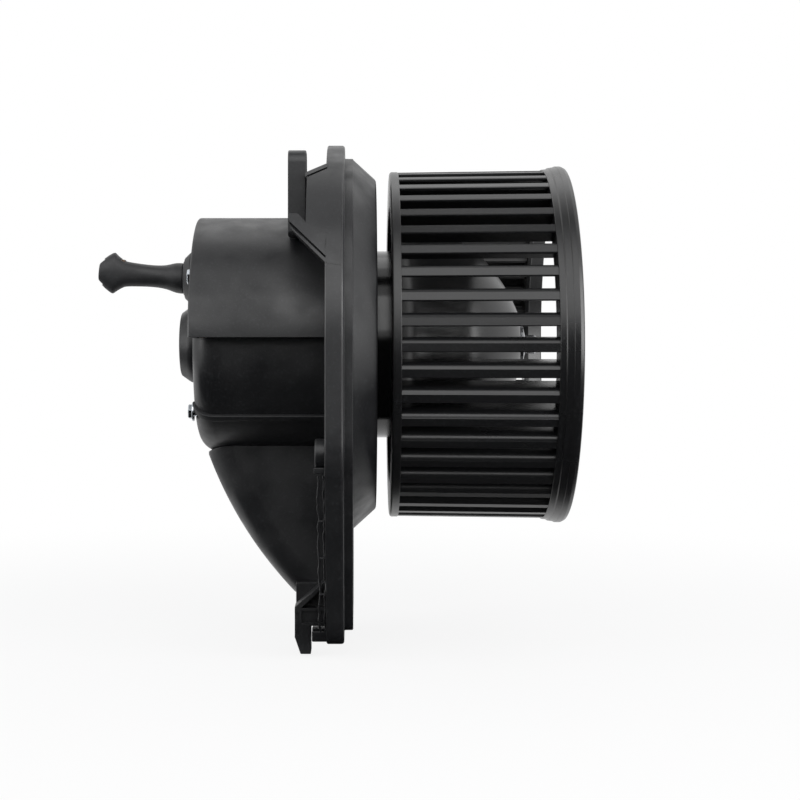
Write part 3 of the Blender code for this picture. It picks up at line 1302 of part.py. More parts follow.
def wheel_dish(rotor):
    """The wheel's back plate: a bell round the motor can, from the cage to the hub."""
    outer = dish_line()
    inner = offset_line(outer, DISH_WALL)[1:]
    inner[-1] = (DISH_DEPTH - DISH_WALL, HUB_RADIUS)
    hub_back = DISH_DEPTH - HUB_LENGTH
    bore = SLEEVE_RADIUS + GAP
    loop = outer + [(DISH_DEPTH, bore), (hub_back, bore), (hub_back, HUB_RADIUS)]
    loop += inner[::-1] + [(WHEEL_BACK, outer[0][1] - DISH_WALL), (WHEEL_BACK, outer[0][1])]
    return turned("wheel_dish", loop, WHEEL_NYLON, BLADE_COUNT, parent=rotor)


def wheel_cage(rotor):
    """The blades on the ring that is welded round the dish, as sectors of a few blades each."""
    first = 0
    for sector in range(CAGE_SECTORS):
        last = BLADE_COUNT * (sector + 1) // CAGE_SECTORS - 1
        name = f"wheel_cage_{sector + 1}"
        ring = flat_solid(name, [ring_sector(first, last)], WHEEL_BACK,
                          WHEEL_BACK + RING_THICKNESS, "YZ", WHEEL_NYLON, rotor)
        join(ring, blades(name + "_blades", range(first, last + 1)))
        first = last + 1


def wheel_rim(rotor):
    """The inlet rim, welded to the blades' free ends."""
    return turned("wheel_rim", rim_loop(), WHEEL_NYLON, BLADE_COUNT, parent=rotor)


def hub_pieces(rotor):
    turned_ring("hub_sleeve", DISH_DEPTH - HUB_LENGTH, DISH_DEPTH, SHAFT_RADIUS + GAP,
                SLEEVE_RADIUS, BRASS, 24, parent=rotor)
    start = DISH_DEPTH + GAP
    crown = CLIP_RING_THICKNESS
    loop = [
        (start + crown, SHAFT_RADIUS + GAP), (start, CLIP_RING_RADIUS),
        (start + CLIP_RING_THICKNESS, CLIP_RING_RADIUS),
        (start + crown + CLIP_RING_THICKNESS, SHAFT_RADIUS + GAP),
    ]
    turned("wheel_retaining_clip", loop, SPRING_STEEL, 20, parent=rotor)


# ---------------------------------------------------------------- assembly

def bearing_pieces():
    seat_front = CAN_FRONT + BEARING_SEAT_HEIGHT - CAN_WALL
    front_start = seat_front - GAP - BEARING_LENGTH
    bearing("front_bearing", front_start)
    seat_back = -BEARING_CAP_END + BEARING_CAP_WALL + GAP + CAN_WALL
    rear_start = seat_back + GAP
    bearing("rear_bearing", rear_start)
    inside = CAN_FRONT - CAN_WALL - GAP
    turned_ring("front_bearing_retainer", inside - RETAINER_THICKNESS, inside, LOOSE_BORE,
                RETAINER_RADIUS, SPRING_STEEL, 20)
    start = rear_start + BEARING_LENGTH + GAP
    turned_ring("rear_bearing_retainer", start, start + RETAINER_THICKNESS, LOOSE_BORE,
                BEARING_RADIUS, SPRING_STEEL, 20)
    front_washer = inside - RETAINER_THICKNESS - WASHER_STANDOFF
    rear_washer = END_FRAME_THICKNESS - END_FRAME_BACK + WASHER_STANDOFF
    return front_washer - WASHER_THICKNESS, rear_washer


def damper_pieces():
    """The rubber rings that carry the can in its housing."""
    inner = CAN_RADIUS + GAP
    back = -FLANGE_DEPTH + FLANGE_ROOF + GAP
    turned_ring("front_damper_ring", back, BOWL_HEIGHT - FLANGE_ROOF - GAP, inner,
                inner + FRONT_DAMPER_WALL, RUBBER, 32)
    turned_ring("rear_damper_ring", -REAR_DAMPER_BACK, REAR_DAMPER_LENGTH - REAR_DAMPER_BACK,
                inner, MOTOR_SPACE - GAP, RUBBER, 32)


def build():
    rotor = axis_empty("rotor_axis")
    mounting_flange()
    upper_cover()
    lower_shell()
    cooling_duct()
    rear_bearing_cap()
    for row in SCREW_ANGLES:
        rear_screw(row)
    lead_gland()
    lead_boot()
    connector_insert()
    for side, name in ((-1, "terminal_negative"), (1, "terminal_positive")):
        low, high = terminal_corners(side, 0.0)
        block(name, low, high, BRASS)
        lead(side)
    motor_can()
    motor_end_frame()
    magnet(1, "magnet_upper")
    magnet(-1, "magnet_lower")
    magnet_clip(-1, "magnet_clip_near")
    magnet_clip(1, "magnet_clip_far")
    washer_front, washer_rear = bearing_pieces()
    damper_pieces()
    brush_plate()
    for side, row in ((1, "upper"), (-1, "lower")):
        guide = axis_empty("brush_guide_" + row, (BRUSH_CENTRE_X, 0.0, side * brush_foot()))
        brush(side, "brush_" + row, guide)
        brush_spring(side, "brush_spring_" + row)
    choke(-1, "choke_near")
    choke(1, "choke_far")
    capacitor()
    shaft(rotor)
    armature_core(rotor)
    armature_winding(rotor)
    commutator(rotor)
    for name, start in (("front_thrust_washer", washer_front), ("rear_thrust_washer", washer_rear)):
        turned_ring(name, start, start + WASHER_THICKNESS, SHAFT_RADIUS + GAP, WASHER_RADIUS,
                    SPRING_STEEL, 20, parent=rotor)
    wheel_dish(rotor)
    wheel_cage(rotor)
    wheel_rim(rotor)
    hub_pieces(rotor)


build()
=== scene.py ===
"""Looks of a heater blower: motor housing on a mounting flange, with a squirrel-cage wheel.

Metres, +Z up. +X runs along the motor's axis towards the wheel's open inlet, and the origin is on that
axis, in the seat plane of the flange.
"""

import json
from math import atan2, ceil, cos, hypot, pi, radians, sin, tan

import bmesh
import bpy
from bpy.props import FloatProperty, FloatVectorProperty, IntProperty, PointerProperty
from mathutils import Matrix, Vector, noise


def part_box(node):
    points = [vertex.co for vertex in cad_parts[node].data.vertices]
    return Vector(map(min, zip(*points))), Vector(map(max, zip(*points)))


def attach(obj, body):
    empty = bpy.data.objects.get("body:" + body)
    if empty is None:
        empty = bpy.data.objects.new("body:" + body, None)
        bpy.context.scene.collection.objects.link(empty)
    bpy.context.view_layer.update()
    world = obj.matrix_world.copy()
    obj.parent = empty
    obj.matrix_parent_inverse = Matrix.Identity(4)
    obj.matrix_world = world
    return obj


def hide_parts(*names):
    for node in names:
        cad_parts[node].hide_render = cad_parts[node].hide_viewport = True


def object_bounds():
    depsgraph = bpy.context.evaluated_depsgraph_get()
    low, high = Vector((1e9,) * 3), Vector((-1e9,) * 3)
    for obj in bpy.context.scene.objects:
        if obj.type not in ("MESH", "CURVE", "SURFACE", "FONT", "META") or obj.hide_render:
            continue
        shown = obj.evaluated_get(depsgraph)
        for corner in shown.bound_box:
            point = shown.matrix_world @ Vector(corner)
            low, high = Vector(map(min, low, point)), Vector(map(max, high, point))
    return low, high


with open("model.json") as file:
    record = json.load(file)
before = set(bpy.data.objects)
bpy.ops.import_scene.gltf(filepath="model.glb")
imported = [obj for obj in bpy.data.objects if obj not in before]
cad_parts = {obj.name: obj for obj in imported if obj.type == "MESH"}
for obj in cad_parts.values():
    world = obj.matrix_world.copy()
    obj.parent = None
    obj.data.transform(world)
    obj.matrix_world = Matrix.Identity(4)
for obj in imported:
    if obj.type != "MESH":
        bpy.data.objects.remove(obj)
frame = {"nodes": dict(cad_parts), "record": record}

bl_info = {
    "name": "Heater blower looks",
    "version": (1, 0, 0),
    "blender": (4, 5, 0),
    "location": "View3D > Sidebar > Blower",
    "description": "Builds the visible pieces of a heater blower around its solid model",
    "category": "Object",
}

MM = 0.001
CAD_BOUNDS = [list(corner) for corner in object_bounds()]
TINY = 1e-6

FLANGE_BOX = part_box("mounting_flange")
COVER_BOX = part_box("upper_cover")
SHELL_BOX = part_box("lower_shell")
DUCT_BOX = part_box("cooling_duct")
CAP_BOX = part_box("rear_bearing_cap")
GLAND_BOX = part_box("lead_gland")
BOOT_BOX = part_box("lead_boot")
CAN_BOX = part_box("motor_can")
RIM_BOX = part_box("wheel_rim")
DISH_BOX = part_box("wheel_dish")
SLEEVE_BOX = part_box("hub_sleeve")
GLAND_Z = (GLAND_BOX[0].z + GLAND_BOX[1].z) / 2
SHELL_RADIUS = -SHELL_BOX[0].z
HOLE_GAP = 0.3 * MM         # round what passes through a hole
RING_LENGTH = 3.6 * MM      # the wheel's back ring, along the axis


def length(name, description, millimetres):
    return FloatProperty(name=name, description=description, default=millimetres * MM,
                         unit="LENGTH", subtype="DISTANCE")


def angle(name, description, degrees):
    return FloatProperty(name=name, description=description, default=radians(degrees),
                         unit="ROTATION", subtype="ANGLE")


def colour(name, description, value):
    return FloatVectorProperty(name=name, description=description, default=value, size=3,
                               min=0.0, max=1.0, subtype="COLOR")


# ---------------------------------------------------------------- settings

class BlowerWheelSizes(bpy.types.PropertyGroup):
    blade_count: IntProperty(name="Blades", description="Number of blades", default=46, min=3)
    phase: angle("Phase", "First blade above the horizontal, on the near side", 14.75)
    land_radius: length("Land radius", "Axis to the outside of the blades", 72.6)
    land_width: length("Land width", "Width of a blade's outer land", 3.7)
    chord: length("Chord", "Radial depth of a blade", 10.9)
    lean: length("Lean", "Offset of a blade's root from its land", 3.4)
    root: length("Root", "Thickness of a blade at its root", 1.1)
    taper: FloatProperty(name="Taper", description="Growth of the cage towards the inlet",
                         default=0.012)
    wall: length("Wall", "Thickness of the dish and the rim", 2.2)


class BlowerFlangeSizes(bpy.types.PropertyGroup):
    foot: length("Foot", "Axis to the bottom edge", 120.6)
    foot_half: length("Foot half width", "Half the width of the straight bottom edge", 44.0)
    taper_start: length("Taper start", "Height below the axis where the sides turn in", 45.0)
    taper_round: length("Taper round", "Radius between side and taper", 30.0)
    foot_round: length("Foot round", "Radius of the bottom corners", 12.0)
    depth: length("Depth", "Seat plane to the back edge", 7.2)
    wall: length("Wall", "Thickness of the skirt", 3.0)
    seat: length("Seat width", "Width of the seat round the spigot", 5.5)
    spigot: length("Spigot height", "Height of the step inside the seat", 3.6)
    roof: length("Roof", "Thickness of the bowl", 2.8)
    bowl_base: length("Bowl base radius", "Radius of the bowl at the spigot", 77.9)
    bowl_face: length("Bowl face radius", "Radius of the bowl at its face", 69.4)


class BlowerHousingSizes(bpy.types.PropertyGroup):
    wall: length("Wall", "Thickness of the housing", 2.4)
    edge: length("Edge", "Fillet of the moulded edges", 1.2)
    shell_edge: length("Shell edge", "Radius of the lower shell's back edge", 8.5)
    rib_angle: angle("Rib angle", "Side rib below the horizontal", 40.0)
    rib_width: length("Rib width", "Width of the side ribs", 2.8)
    rib_height: length("Rib height", "Height of the side ribs", 1.6)
    screw_circle: length("Screw circle", "Radius of the screws' circle", 38.9)
    screw_head: length("Screw head", "Radius of a screw head", 3.9)
    duct_bulge: length("Duct bulge", "Bow of the duct's back wall", 3.5)
    duct_edge: length("Duct edge", "Fillet along the duct's back wall", 13.0)


class BlowerFinishes(bpy.types.PropertyGroup):
    nylon: colour("Nylon", "Colour of the black moulded plastic", (0.0085, 0.0088, 0.0098))
    wheel: colour("Wheel", "Colour of the wheel's plastic", (0.0060, 0.0061, 0.0066))
    rubber: colour("Rubber", "Colour of the grommet and the sleeve", (0.0100, 0.0103, 0.0115))
    zinc: colour("Zinc", "Colour of the screws", (0.62, 0.66, 0.70))


class BlowerStage(bpy.types.PropertyGroup):
    distance: length("Camera distance", "Camera to the axis", 690.0)
    aside: length("Camera aside", "Camera beside the seat plane", 5.0)
    lens: FloatProperty(name="Lens", description="Focal length in millimetres", default=72.93)
    shift_x: FloatProperty(name="Shift X", description="Sideways shift of the picture",
                           default=0.054)
    shift_y: FloatProperty(name="Shift Y", description="Upward shift of the picture",
                           default=-0.0696)
    fill: FloatProperty(name="Fill", description="Strength of the room's even light", default=0.40)


# ---------------------------------------------------------------- outlines

def arc(centre, radius, start_deg, end_deg, steps):
    turns = [radians(start_deg + (end_deg - start_deg) * i / steps) for i in range(steps + 1)]
    return [(centre[0] + radius * cos(t), centre[1] + radius * sin(t)) for t in turns]


def filleted(corners, closed=True, step_deg=15.0):
    """An outline through (a, b, fillet radius) corners; an open one keeps its two ends sharp."""
    points = []
    last = len(corners) - 1
    for i, (a, b, radius) in enumerate(corners):
        if radius < TINY or (not closed and i in (0, last)):
            points.append((a, b))
            continue
        corner = Vector((a, b))
        before = (Vector(corners[i - 1][:2]) - corner).normalized()
        after = (Vector(corners[(i + 1) % len(corners)][:2]) - corner).normalized()
        half = before.angle(after) / 2
        middle = corner + (before + after).normalized() * radius / sin(half)
        start = corner + before * radius / tan(half) - middle
        end = corner + after * radius / tan(half) - middle
        turn = start.angle_signed(end)
        steps = max(1, ceil(abs(turn) / radians(step_deg)))
        for step in range(steps + 1):
            spot = middle + Matrix.Rotation(-turn * step / steps, 2) @ start
            points.append((spot.x, spot.y))
    return points


def inset(corners, distance):
    """Move the sides of a convex anticlockwise outline inwards, and shrink its rounds."""
    moved = []
    for i, (a, b, radius) in enumerate(corners):
        corner = Vector((a, b))
        back = (corner - Vector(corners[i - 1][:2])).normalized()
        ahead = (Vector(corners[(i + 1) % len(corners)][:2]) - corner).normalized()
        normals = [Vector((-side.y, side.x)) for side in (back, ahead)]
        middle = (normals[0] + normals[1]).normalized()
        spot = corner + middle * distance / middle.dot(normals[0])
        moved.append((spot.x, spot.y, max(radius - distance, 0.2 * MM)))
    return moved


def smooth_curve(points, steps):
    """Points along a smooth curve through the given ones."""
    path = []
    for i in range(len(points) - 1):
        p = [Vector(points[min(max(i + k, 0), len(points) - 1)]) for k in (-1, 0, 1, 2)]
        for step in range(steps):
            t = step / steps
            spot = 0.5 * (2 * p[1] + (p[2] - p[0]) * t + (2 * p[0] - 5 * p[1] + 4 * p[2] - p[3]) * t ** 2
                          + (3 * p[1] - p[0] - 3 * p[2] + p[3]) * t ** 3)
            path.append(tuple(spot))
    path.append(tuple(points[-1]))
    return path


def offset_line(line, distance):
    """Move an open (x, radius) line towards the axis, square to itself."""
    moved = []
    for i, point in enumerate(line):
        before = Vector(line[max(i - 1, 0)])
        after = Vector(line[min(i + 1, len(line) - 1)])
        along = (after - before).normalized()
        moved.append(tuple(Vector(point) + Vector((along.y, -along.x)) * distance))
    return moved


# ---------------------------------------------------------------- meshes

def new_piece(name, verts, faces):
    """An object with this mesh, its doubles merged and its faces pointing out."""
    mesh = bpy.data.meshes.new(name)
    mesh.from_pydata(verts, [], faces)
    shape = bmesh.new()
    shape.from_mesh(mesh)
    bmesh.ops.remove_doubles(shape, verts=shape.verts, dist=TINY)
    bmesh.ops.recalc_face_normals(shape, faces=shape.faces)
    shape.to_mesh(mesh)
    shape.free()
    piece = bpy.data.objects.new(name, mesh)
    bpy.context.scene.collection.objects.link(piece)
    return piece


def lathe(name, outline, segments=128, closed=True, y=0.0, z=0.0):
    """Turn (x, radius) points about the line along X through (y, z)."""
    verts, rows = [], []
    for x, radius in outline:
        count = 1 if radius < TINY else segments
        rows.append([len(verts) + s for s in range(count)])
        for s in range(count):
            turn = 2 * pi * s / segments
            verts.append((x, y - radius * cos(turn), z + radius * sin(turn)))
    pairs = list(zip(rows, rows[1:]))
    if closed:
        pairs.append((rows[-1], rows[0]))
    faces = []
    for first, second in pairs:
        for s in range(segments):
            t = (s + 1) % segments
            if len(first) == 1 and len(second) == 1:
                break
            if len(first) == 1:
                faces.append((first[0], second[t], second[s]))
            elif len(second) == 1:
                faces.append((first[s], first[t], second[0]))
            else:
                faces.append((first[s], first[t], second[t], second[s]))
    return new_piece(name, verts, faces)


def rod(name, low, high, radius, segments, y=0.0, z=0.0):
    """A solid cylinder along X, for cutting a round hole or seat."""
    outline = [(low, 0.0), (low, radius), (high, radius), (high, 0.0)]
    return lathe(name, outline, segments, closed=False, y=y, z=z)


def loft(name, rings):
    """A closed skin over rings of equally many points, capped at both ends."""
    count = len(rings[0])
    verts = [point for ring in rings for point in ring]
    faces = [tuple(range(count)), tuple(range(len(verts) - count, len(verts)))]
    for level in range(len(rings) - 1):
        base = level * count
        for s in range(count):
            t = (s + 1) % count
            faces.append((base + s, base + t, base + count + t, base + count + s))
    return new_piece(name, verts, faces)


def plate(name, outline, low, high, plane="XZ", edge=0.0):
    """A flat plate between two parallel planes, with its edges rounded."""
    if plane == "XZ":
        rings = [[(a, level, b) for a, b in outline] for level in (low, high)]
    else:
        rings = [[(level, a, b) for a, b in outline] for level in (low, high)]
    piece = loft(name, rings)
    if edge:
        soften(piece, edge)
    return piece


def block(name, low, high, edge=0.0):
    """A box between two opposite corners."""
    outline = [(low[0], low[2]), (high[0], low[2]), (high[0], high[2]), (low[0], high[2])]
    return plate(name, outline, low[1], high[1], "XZ", edge)


def settle(piece):
    """Make what the modifiers give the piece's own mesh."""
    bpy.context.view_layer.update()
    graph = bpy.context.evaluated_depsgraph_get()
    mesh = bpy.data.meshes.new_from_object(piece.evaluated_get(graph))
    piece.modifiers.clear()
    piece.data = mesh
    mesh.name = piece.name
    return piece


def soften(piece, width, segments=2, angle_deg=28.0):
    """Round every edge sharper than an angle."""
    bevel = piece.modifiers.new("soft_edges", "BEVEL")
    bevel.width = width
    bevel.segments = segments
    bevel.limit_method = "ANGLE"
    bevel.angle_limit = radians(angle_deg)
    bevel.harden_normals = False
    return settle(piece)


def combine(piece, others, operation):
    """Apply one Boolean for each other shape, and remove that shape."""
    for other in others:
        boolean = piece.modifiers.new(operation, "BOOLEAN")
        boolean.operation = operation
        boolean.object = other
        settle(piece)
        bpy.data.objects.remove(other, do_unlink=True)
    return piece


def join_to(piece, *others):
    return combine(piece, others, "UNION")


def cut_from(piece, *others):
    return combine(piece, others, "DIFFERENCE")


def gather(piece, others):
    """Put other closed shapes into a piece's mesh as they are."""
    shape = bmesh.new()
    shape.from_mesh(piece.data)
    for other in others:
        shape.from_mesh(other.data)
        bpy.data.objects.remove(other, do_unlink=True)
    shape.to_mesh(piece.data)
    shape.free()
    return piece


def cord_mesh(name, points, radii, sides=8):
    """A round bead along points with a radius at each, and closed ends."""
    rings = []
    last = len(points) - 1
    for i, point in enumerate(points):
        along = (Vector(points[min(i + 1, last)]) - Vector(points[max(i - 1, 0)])).normalized()
        side = along.cross(Vector((1.0, 0.0, 0.0))).normalized()
        rise = along.cross(side)
        rings.append([tuple(Vector(point) + side * radii[i] * cos(2 * pi * s / sides)
                            + rise * radii[i] * sin(2 * pi * s / sides)) for s in range(sides)])
    return loft(name, rings)


def dress(piece, finish, body, nodes=(), angle_deg=32.0):
    """Shade a finished piece, give it its finish, and fix it to its body."""
    piece.data.shade_smooth()
    piece.data.set_sharp_from_angle(angle=radians(angle_deg))
    piece.data.materials.clear()
    piece.data.materials.append(finish)
    weighted = piece.modifiers.new("even_shading", "WEIGHTED_NORMAL")
    weighted.keep_sharp = True
    weighted.weight = 80
    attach(piece, body)
    if nodes:
        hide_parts(*nodes)
    return piece


# ---------------------------------------------------------------- finishes

def new_finish(name, base, roughness, metallic=0.0, specular=0.5):
    """A Principled finish with its constants on the shader's own sockets."""
    finish = bpy.data.materials.new(name)
    finish.use_nodes = True
    shader = finish.node_tree.nodes["Principled BSDF"]
    shader.inputs["Base Color"].default_value = (*base, 1.0)
    shader.inputs["Roughness"].default_value = roughness
    shader.inputs["Metallic"].default_value = metallic
    shader.inputs["Specular IOR Level"].default_value = specular
    return finish


def shader_of(finish):
    return finish.node_tree.nodes["Principled BSDF"]


def field(finish, scale, detail=3.0, stretch=(1.0, 1.0, 1.0)):
    """A noise field over the piece, with its scale in features per metre."""
    nodes, links = finish.node_tree.nodes, finish.node_tree.links
    place = nodes.new("ShaderNodeTexCoord")
    mapping = nodes.new("ShaderNodeMapping")
    mapping.inputs["Scale"].default_value = stretch
    texture = nodes.new("ShaderNodeTexNoise")
    texture.inputs["Scale"].default_value = scale
    texture.inputs["Detail"].default_value = detail
    links.new(place.outputs["Object"], mapping.inputs["Vector"])
    links.new(mapping.outputs["Vector"], texture.inputs["Vector"])
    return texture.outputs["Fac"]


def spread(finish, source, low, high, start=0.3, end=0.7):
    """Map a field from start..end onto low..high."""
    node = finish.node_tree.nodes.new("ShaderNodeMapRange")
    node.inputs["From Min"].default_value = start
    node.inputs["From Max"].default_value = end
    node.inputs["To Min"].default_value = low
    node.inputs["To Max"].default_value = high
    finish.node_tree.links.new(source, node.inputs["Value"])
    return node.outputs["Result"]


def tint(finish, source, first, second):
    """Blend the base colour between two tones by a field."""
    nodes, links = finish.node_tree.nodes, finish.node_tree.links
    mix = nodes.new("ShaderNodeMix")
    mix.data_type = "RGBA"
    colour_inputs = [socket for socket in mix.inputs if socket.type == "RGBA"]
    colour_inputs[0].default_value = (*first, 1.0)
    colour_inputs[1].default_value = (*second, 1.0)
    links.new(source, mix.inputs["Factor"])
    outputs = [socket for socket in mix.outputs if socket.type == "RGBA"]
    links.new(outputs[0], shader_of(finish).inputs["Base Color"])


def relief(finish, layers):
    """Chain bumps from (field, strength, depth) layers into the normal."""
    nodes, links = finish.node_tree.nodes, finish.node_tree.links
    previous = None
    for source, strength, depth in layers:
        bump = nodes.new("ShaderNodeBump")
        bump.inputs["Strength"].default_value = strength
        bump.inputs["Distance"].default_value = depth
        links.new(source, bump.inputs["Height"])
        if previous is not None:
            links.new(previous, bump.inputs["Normal"])
        previous = bump.outputs["Normal"]
    links.new(previous, shader_of(finish).inputs["Normal"])


def scaled(tone, factor):
    """A lighter or darker tone of the same colour."""
    return tuple(min(1.0, part * factor) for part in tone)


def moulded(name, tone, rough_low, rough_high, flow=38.0, grain=2600.0, stretch=(1.0, 1.0, 1.0),
            grain_depth=0.05 * MM, wave=0.12):
    """Moulded plastic: fine grain, flow marks in the gloss, pale dust, slight sink waves."""
    finish = new_finish(name, tone, rough_high)
    links = finish.node_tree.links
    flow_field = field(finish, flow, 6.0, stretch)
    links.new(spread(finish, flow_field, rough_low, rough_high),
              shader_of(finish).inputs["Roughness"])
    dust = field(finish, 900.0, 2.0)
    tint(finish, spread(finish, dust, 0.0, 1.0, 0.55, 0.86), tone, scaled(tone, 2.4))
    relief(finish, [
        (field(finish, 22.0, 2.0), wave, 0.6 * MM),
        (field(finish, flow * 4, 4.0, stretch), 0.20, 0.08 * MM),
        (field(finish, grain, 2.0), 0.55, grain_depth),
    ])
    return finish


def metal(name, tone, roughness, streak=(1.0, 1.0, 1.0), metallic=1.0, scale=900.0, depth=0.02 * MM):
    """Metal with drawing or turning streaks and patchy gloss."""
    finish = new_finish(name, tone, roughness, metallic)
    links = finish.node_tree.links
    patches = field(finish, 140.0, 4.0)
    links.new(spread(finish, patches, roughness * 0.75, roughness * 1.3),
              shader_of(finish).inputs["Roughness"])
    tint(finish, spread(finish, field(finish, 260.0, 5.0), 0.0, 1.0), tone, scaled(tone, 0.72))
    relief(finish, [(field(finish, scale, 3.0, streak), 0.35, depth)])
    return finish


def make_finishes(tones):
    """One finish for each material slot of the record."""
    round_streak = (8.0, 1.0, 1.0)
    return {
        "black_nylon": moulded("moulded_black_nylon", tones.nylon, 0.30, 0.60, flow=64.0, wave=0.30),
        "wheel_nylon": moulded("satin_wheel_nylon", tones.wheel, 0.24, 0.38, flow=24.0,
                               stretch=(0.35, 1.0, 1.0), wave=0.05),
        "rubber": moulded("matt_rubber", tones.rubber, 0.42, 0.60, flow=60.0, grain=1900.0),
        "zinc_steel": metal("zinc_plated_steel", tones.zinc, 0.24, scale=1800.0),
        "black_steel": metal("black_coated_steel", (0.012, 0.012, 0.013), 0.13, round_streak, 0.0),
        "spring_steel": metal("spring_steel", (0.42, 0.43, 0.45), 0.28, round_streak),
        "ground_steel": metal("ground_steel", (0.55, 0.56, 0.58), 0.18, round_streak),
        "ferrite": moulded("ferrite", (0.045, 0.045, 0.050), 0.5, 0.7, grain=3200.0),
        "bronze": metal("sintered_bronze", (0.45, 0.30, 0.14), 0.42, scale=3000.0),
        "copper": metal("copper", (0.62, 0.28, 0.14), 0.30, (1.0, 3.0, 3.0)),
        "carbon": moulded("carbon", (0.030, 0.030, 0.031), 0.42, 0.6, grain=3000.0),
        "brass": metal("brass", (0.70, 0.55, 0.25), 0.28),
        "lamination": metal("lamination_steel", (0.22, 0.22, 0.23), 0.42, (14.0, 1.0, 1.0)),
        "phenolic": moulded("phenolic", (0.10, 0.055, 0.030), 0.40, 0.58),
        "red_insulation": moulded("red_insulation", (0.32, 0.018, 0.018), 0.36, 0.5),
        "black_insulation": moulded("black_insulation", (0.014, 0.014, 0.015), 0.36, 0.5),
    }


FINISHES = {}


# ---------------------------------------------------------------- wheel

def blade_mesh(sizes):
    """One blade at the near side: a flat land outside, and a vane that curves in to its root."""
    half, tip, lean = sizes.land_width / 2, sizes.land_radius, sizes.lean
    root = tip - sizes.chord
    crown = lean + sizes.root / 2
    hollow = lean - sizes.root / 2
    sweep = crown - half
    third = root + 0.33 * sizes.chord
    straight = tip - 5.4 * MM
    face = [(half, tip - 0.25 * MM), (half + 0.43 * sweep, tip - 0.8 * MM),
            (half + 0.76 * sweep, tip - 2.0 * MM), (half + 0.95 * sweep, tip - 3.6 * MM),
            (crown, straight), (crown - 0.05 * MM, third), (crown - 0.2 * MM, root)]
    back_face = [(hollow - 0.15 * MM, root), (hollow, third), (hollow, straight),
                 (lean - 0.8 * MM, tip - 3.2 * MM), (0.35 * lean, tip - 1.9 * MM),
                 (-half, tip - 1.1 * MM)]
    section = [(-half, tip - 0.3 * MM), (-half + 0.3 * MM, tip), (half - 0.35 * MM, tip)]
    section += smooth_curve(face, 2) + smooth_curve(back_face, 2)
    back = DISH_BOX[0].x + 1.5 * MM
    front = RIM_BOX[0].x + 1.0 * MM
    growth = 1.0 + sizes.taper
    rings = [[(x, -out * grow, aside * grow) for aside, out in section]
             for x, grow in ((back, 1.0), (front, growth))]
    return loft("wheel_blades", rings)


def start_tree(name, inputs):
    """A Geometry Nodes tree with the named inputs, and the identifier of each."""
    tree = bpy.data.node_groups.new(name, "GeometryNodeTree")
    sockets = tree.interface
    sockets.new_socket(name="Geometry", in_out="INPUT", socket_type="NodeSocketGeometry")
    ids = {label: sockets.new_socket(name=label, in_out="INPUT", socket_type=kind).identifier
           for label, kind in inputs}
    sockets.new_socket(name="Geometry", in_out="OUTPUT", socket_type="NodeSocketGeometry")
    return tree, ids


def maths(tree, operation, first, second=None):
    """A Math node on numbers or sockets."""
    node = tree.nodes.new("ShaderNodeMath")
    node.operation = operation
    for socket, value in zip(node.inputs, (first, second)):
        if hasattr(value, "links"):
            tree.links.new(value, socket)
        elif value is not None:
            socket.default_value = value
    return node.outputs[0]


def spare_points(tree, count):
    """One point at the axis for each copy."""
    spots = tree.nodes.new("GeometryNodeMeshLine")
    spots.inputs["Offset"].default_value = (0.0, 0.0, 0.0)
    tree.links.new(count, spots.inputs["Count"])
    return spots.outputs["Mesh"]


def end_tree(tree, given, points, turn):
    """Put the incoming shape on the points, turned about X, as real faces with one finish."""
    nodes, links = tree.nodes, tree.links
    rotation = nodes.new("ShaderNodeCombineXYZ")
    copies = nodes.new("GeometryNodeInstanceOnPoints")
    real = nodes.new("GeometryNodeRealizeInstances")
    paint = nodes.new("GeometryNodeSetMaterial")
    result = nodes.new("NodeGroupOutput")
    links.new(turn, rotation.inputs["X"])
    links.new(points, copies.inputs["Points"])
    links.new(given.outputs["Geometry"], copies.inputs["Instance"])
    links.new(rotation.outputs["Vector"], copies.inputs["Rotation"])
    links.new(copies.outputs["Instances"], real.inputs["Geometry"])
    links.new(real.outputs["Geometry"], paint.inputs["Geometry"])
    links.new(given.outputs["Finish"], paint.inputs["Material"])
    links.new(paint.outputs["Geometry"], result.inputs["Geometry"])


def blade_tree():
    """Copies of the incoming blade round the X axis."""
    tree, ids = start_tree("blades_round_axis", (
        ("Blade Count", "NodeSocketInt"), ("Phase", "NodeSocketFloat"),
        ("Finish", "NodeSocketMaterial")))
    given = tree.nodes.new("NodeGroupInput")
    index = tree.nodes.new("GeometryNodeInputIndex")
    pitch = maths(tree, "DIVIDE", -2 * pi, given.outputs["Blade Count"])
    turn = maths(tree, "MULTIPLY", index.outputs[0], pitch)
    start = maths(tree, "SUBTRACT", turn, given.outputs["Phase"])
    end_tree(tree, given, spare_points(tree, given.outputs["Blade Count"]), start)
    return tree, ids


class BLOWER_OT_blades(bpy.types.Operator):
    """Build the wheel's blades round the axis"""
    bl_idname = "blower.blades"
    bl_label = "Blades"

    def execute(self, context):
        sizes = context.scene.blower_wheel_sizes
        blades = blade_mesh(sizes)
        tree, ids = blade_tree()
        repeat = blades.modifiers.new("round_axis", "NODES")
        repeat.node_group = tree
        repeat[ids["Blade Count"]] = sizes.blade_count
        repeat[ids["Phase"]] = sizes.phase
        repeat[ids["Finish"]] = FINISHES["wheel_nylon"]
        settle(blades)
        nodes = [name for name in frame["nodes"] if name.startswith("wheel_cage_")]
        if not nodes:
            raise RuntimeError("the frame has no blade cage")
        dress(blades, FINISHES["wheel_nylon"], "rotor", nodes)
        return {"FINISHED"}


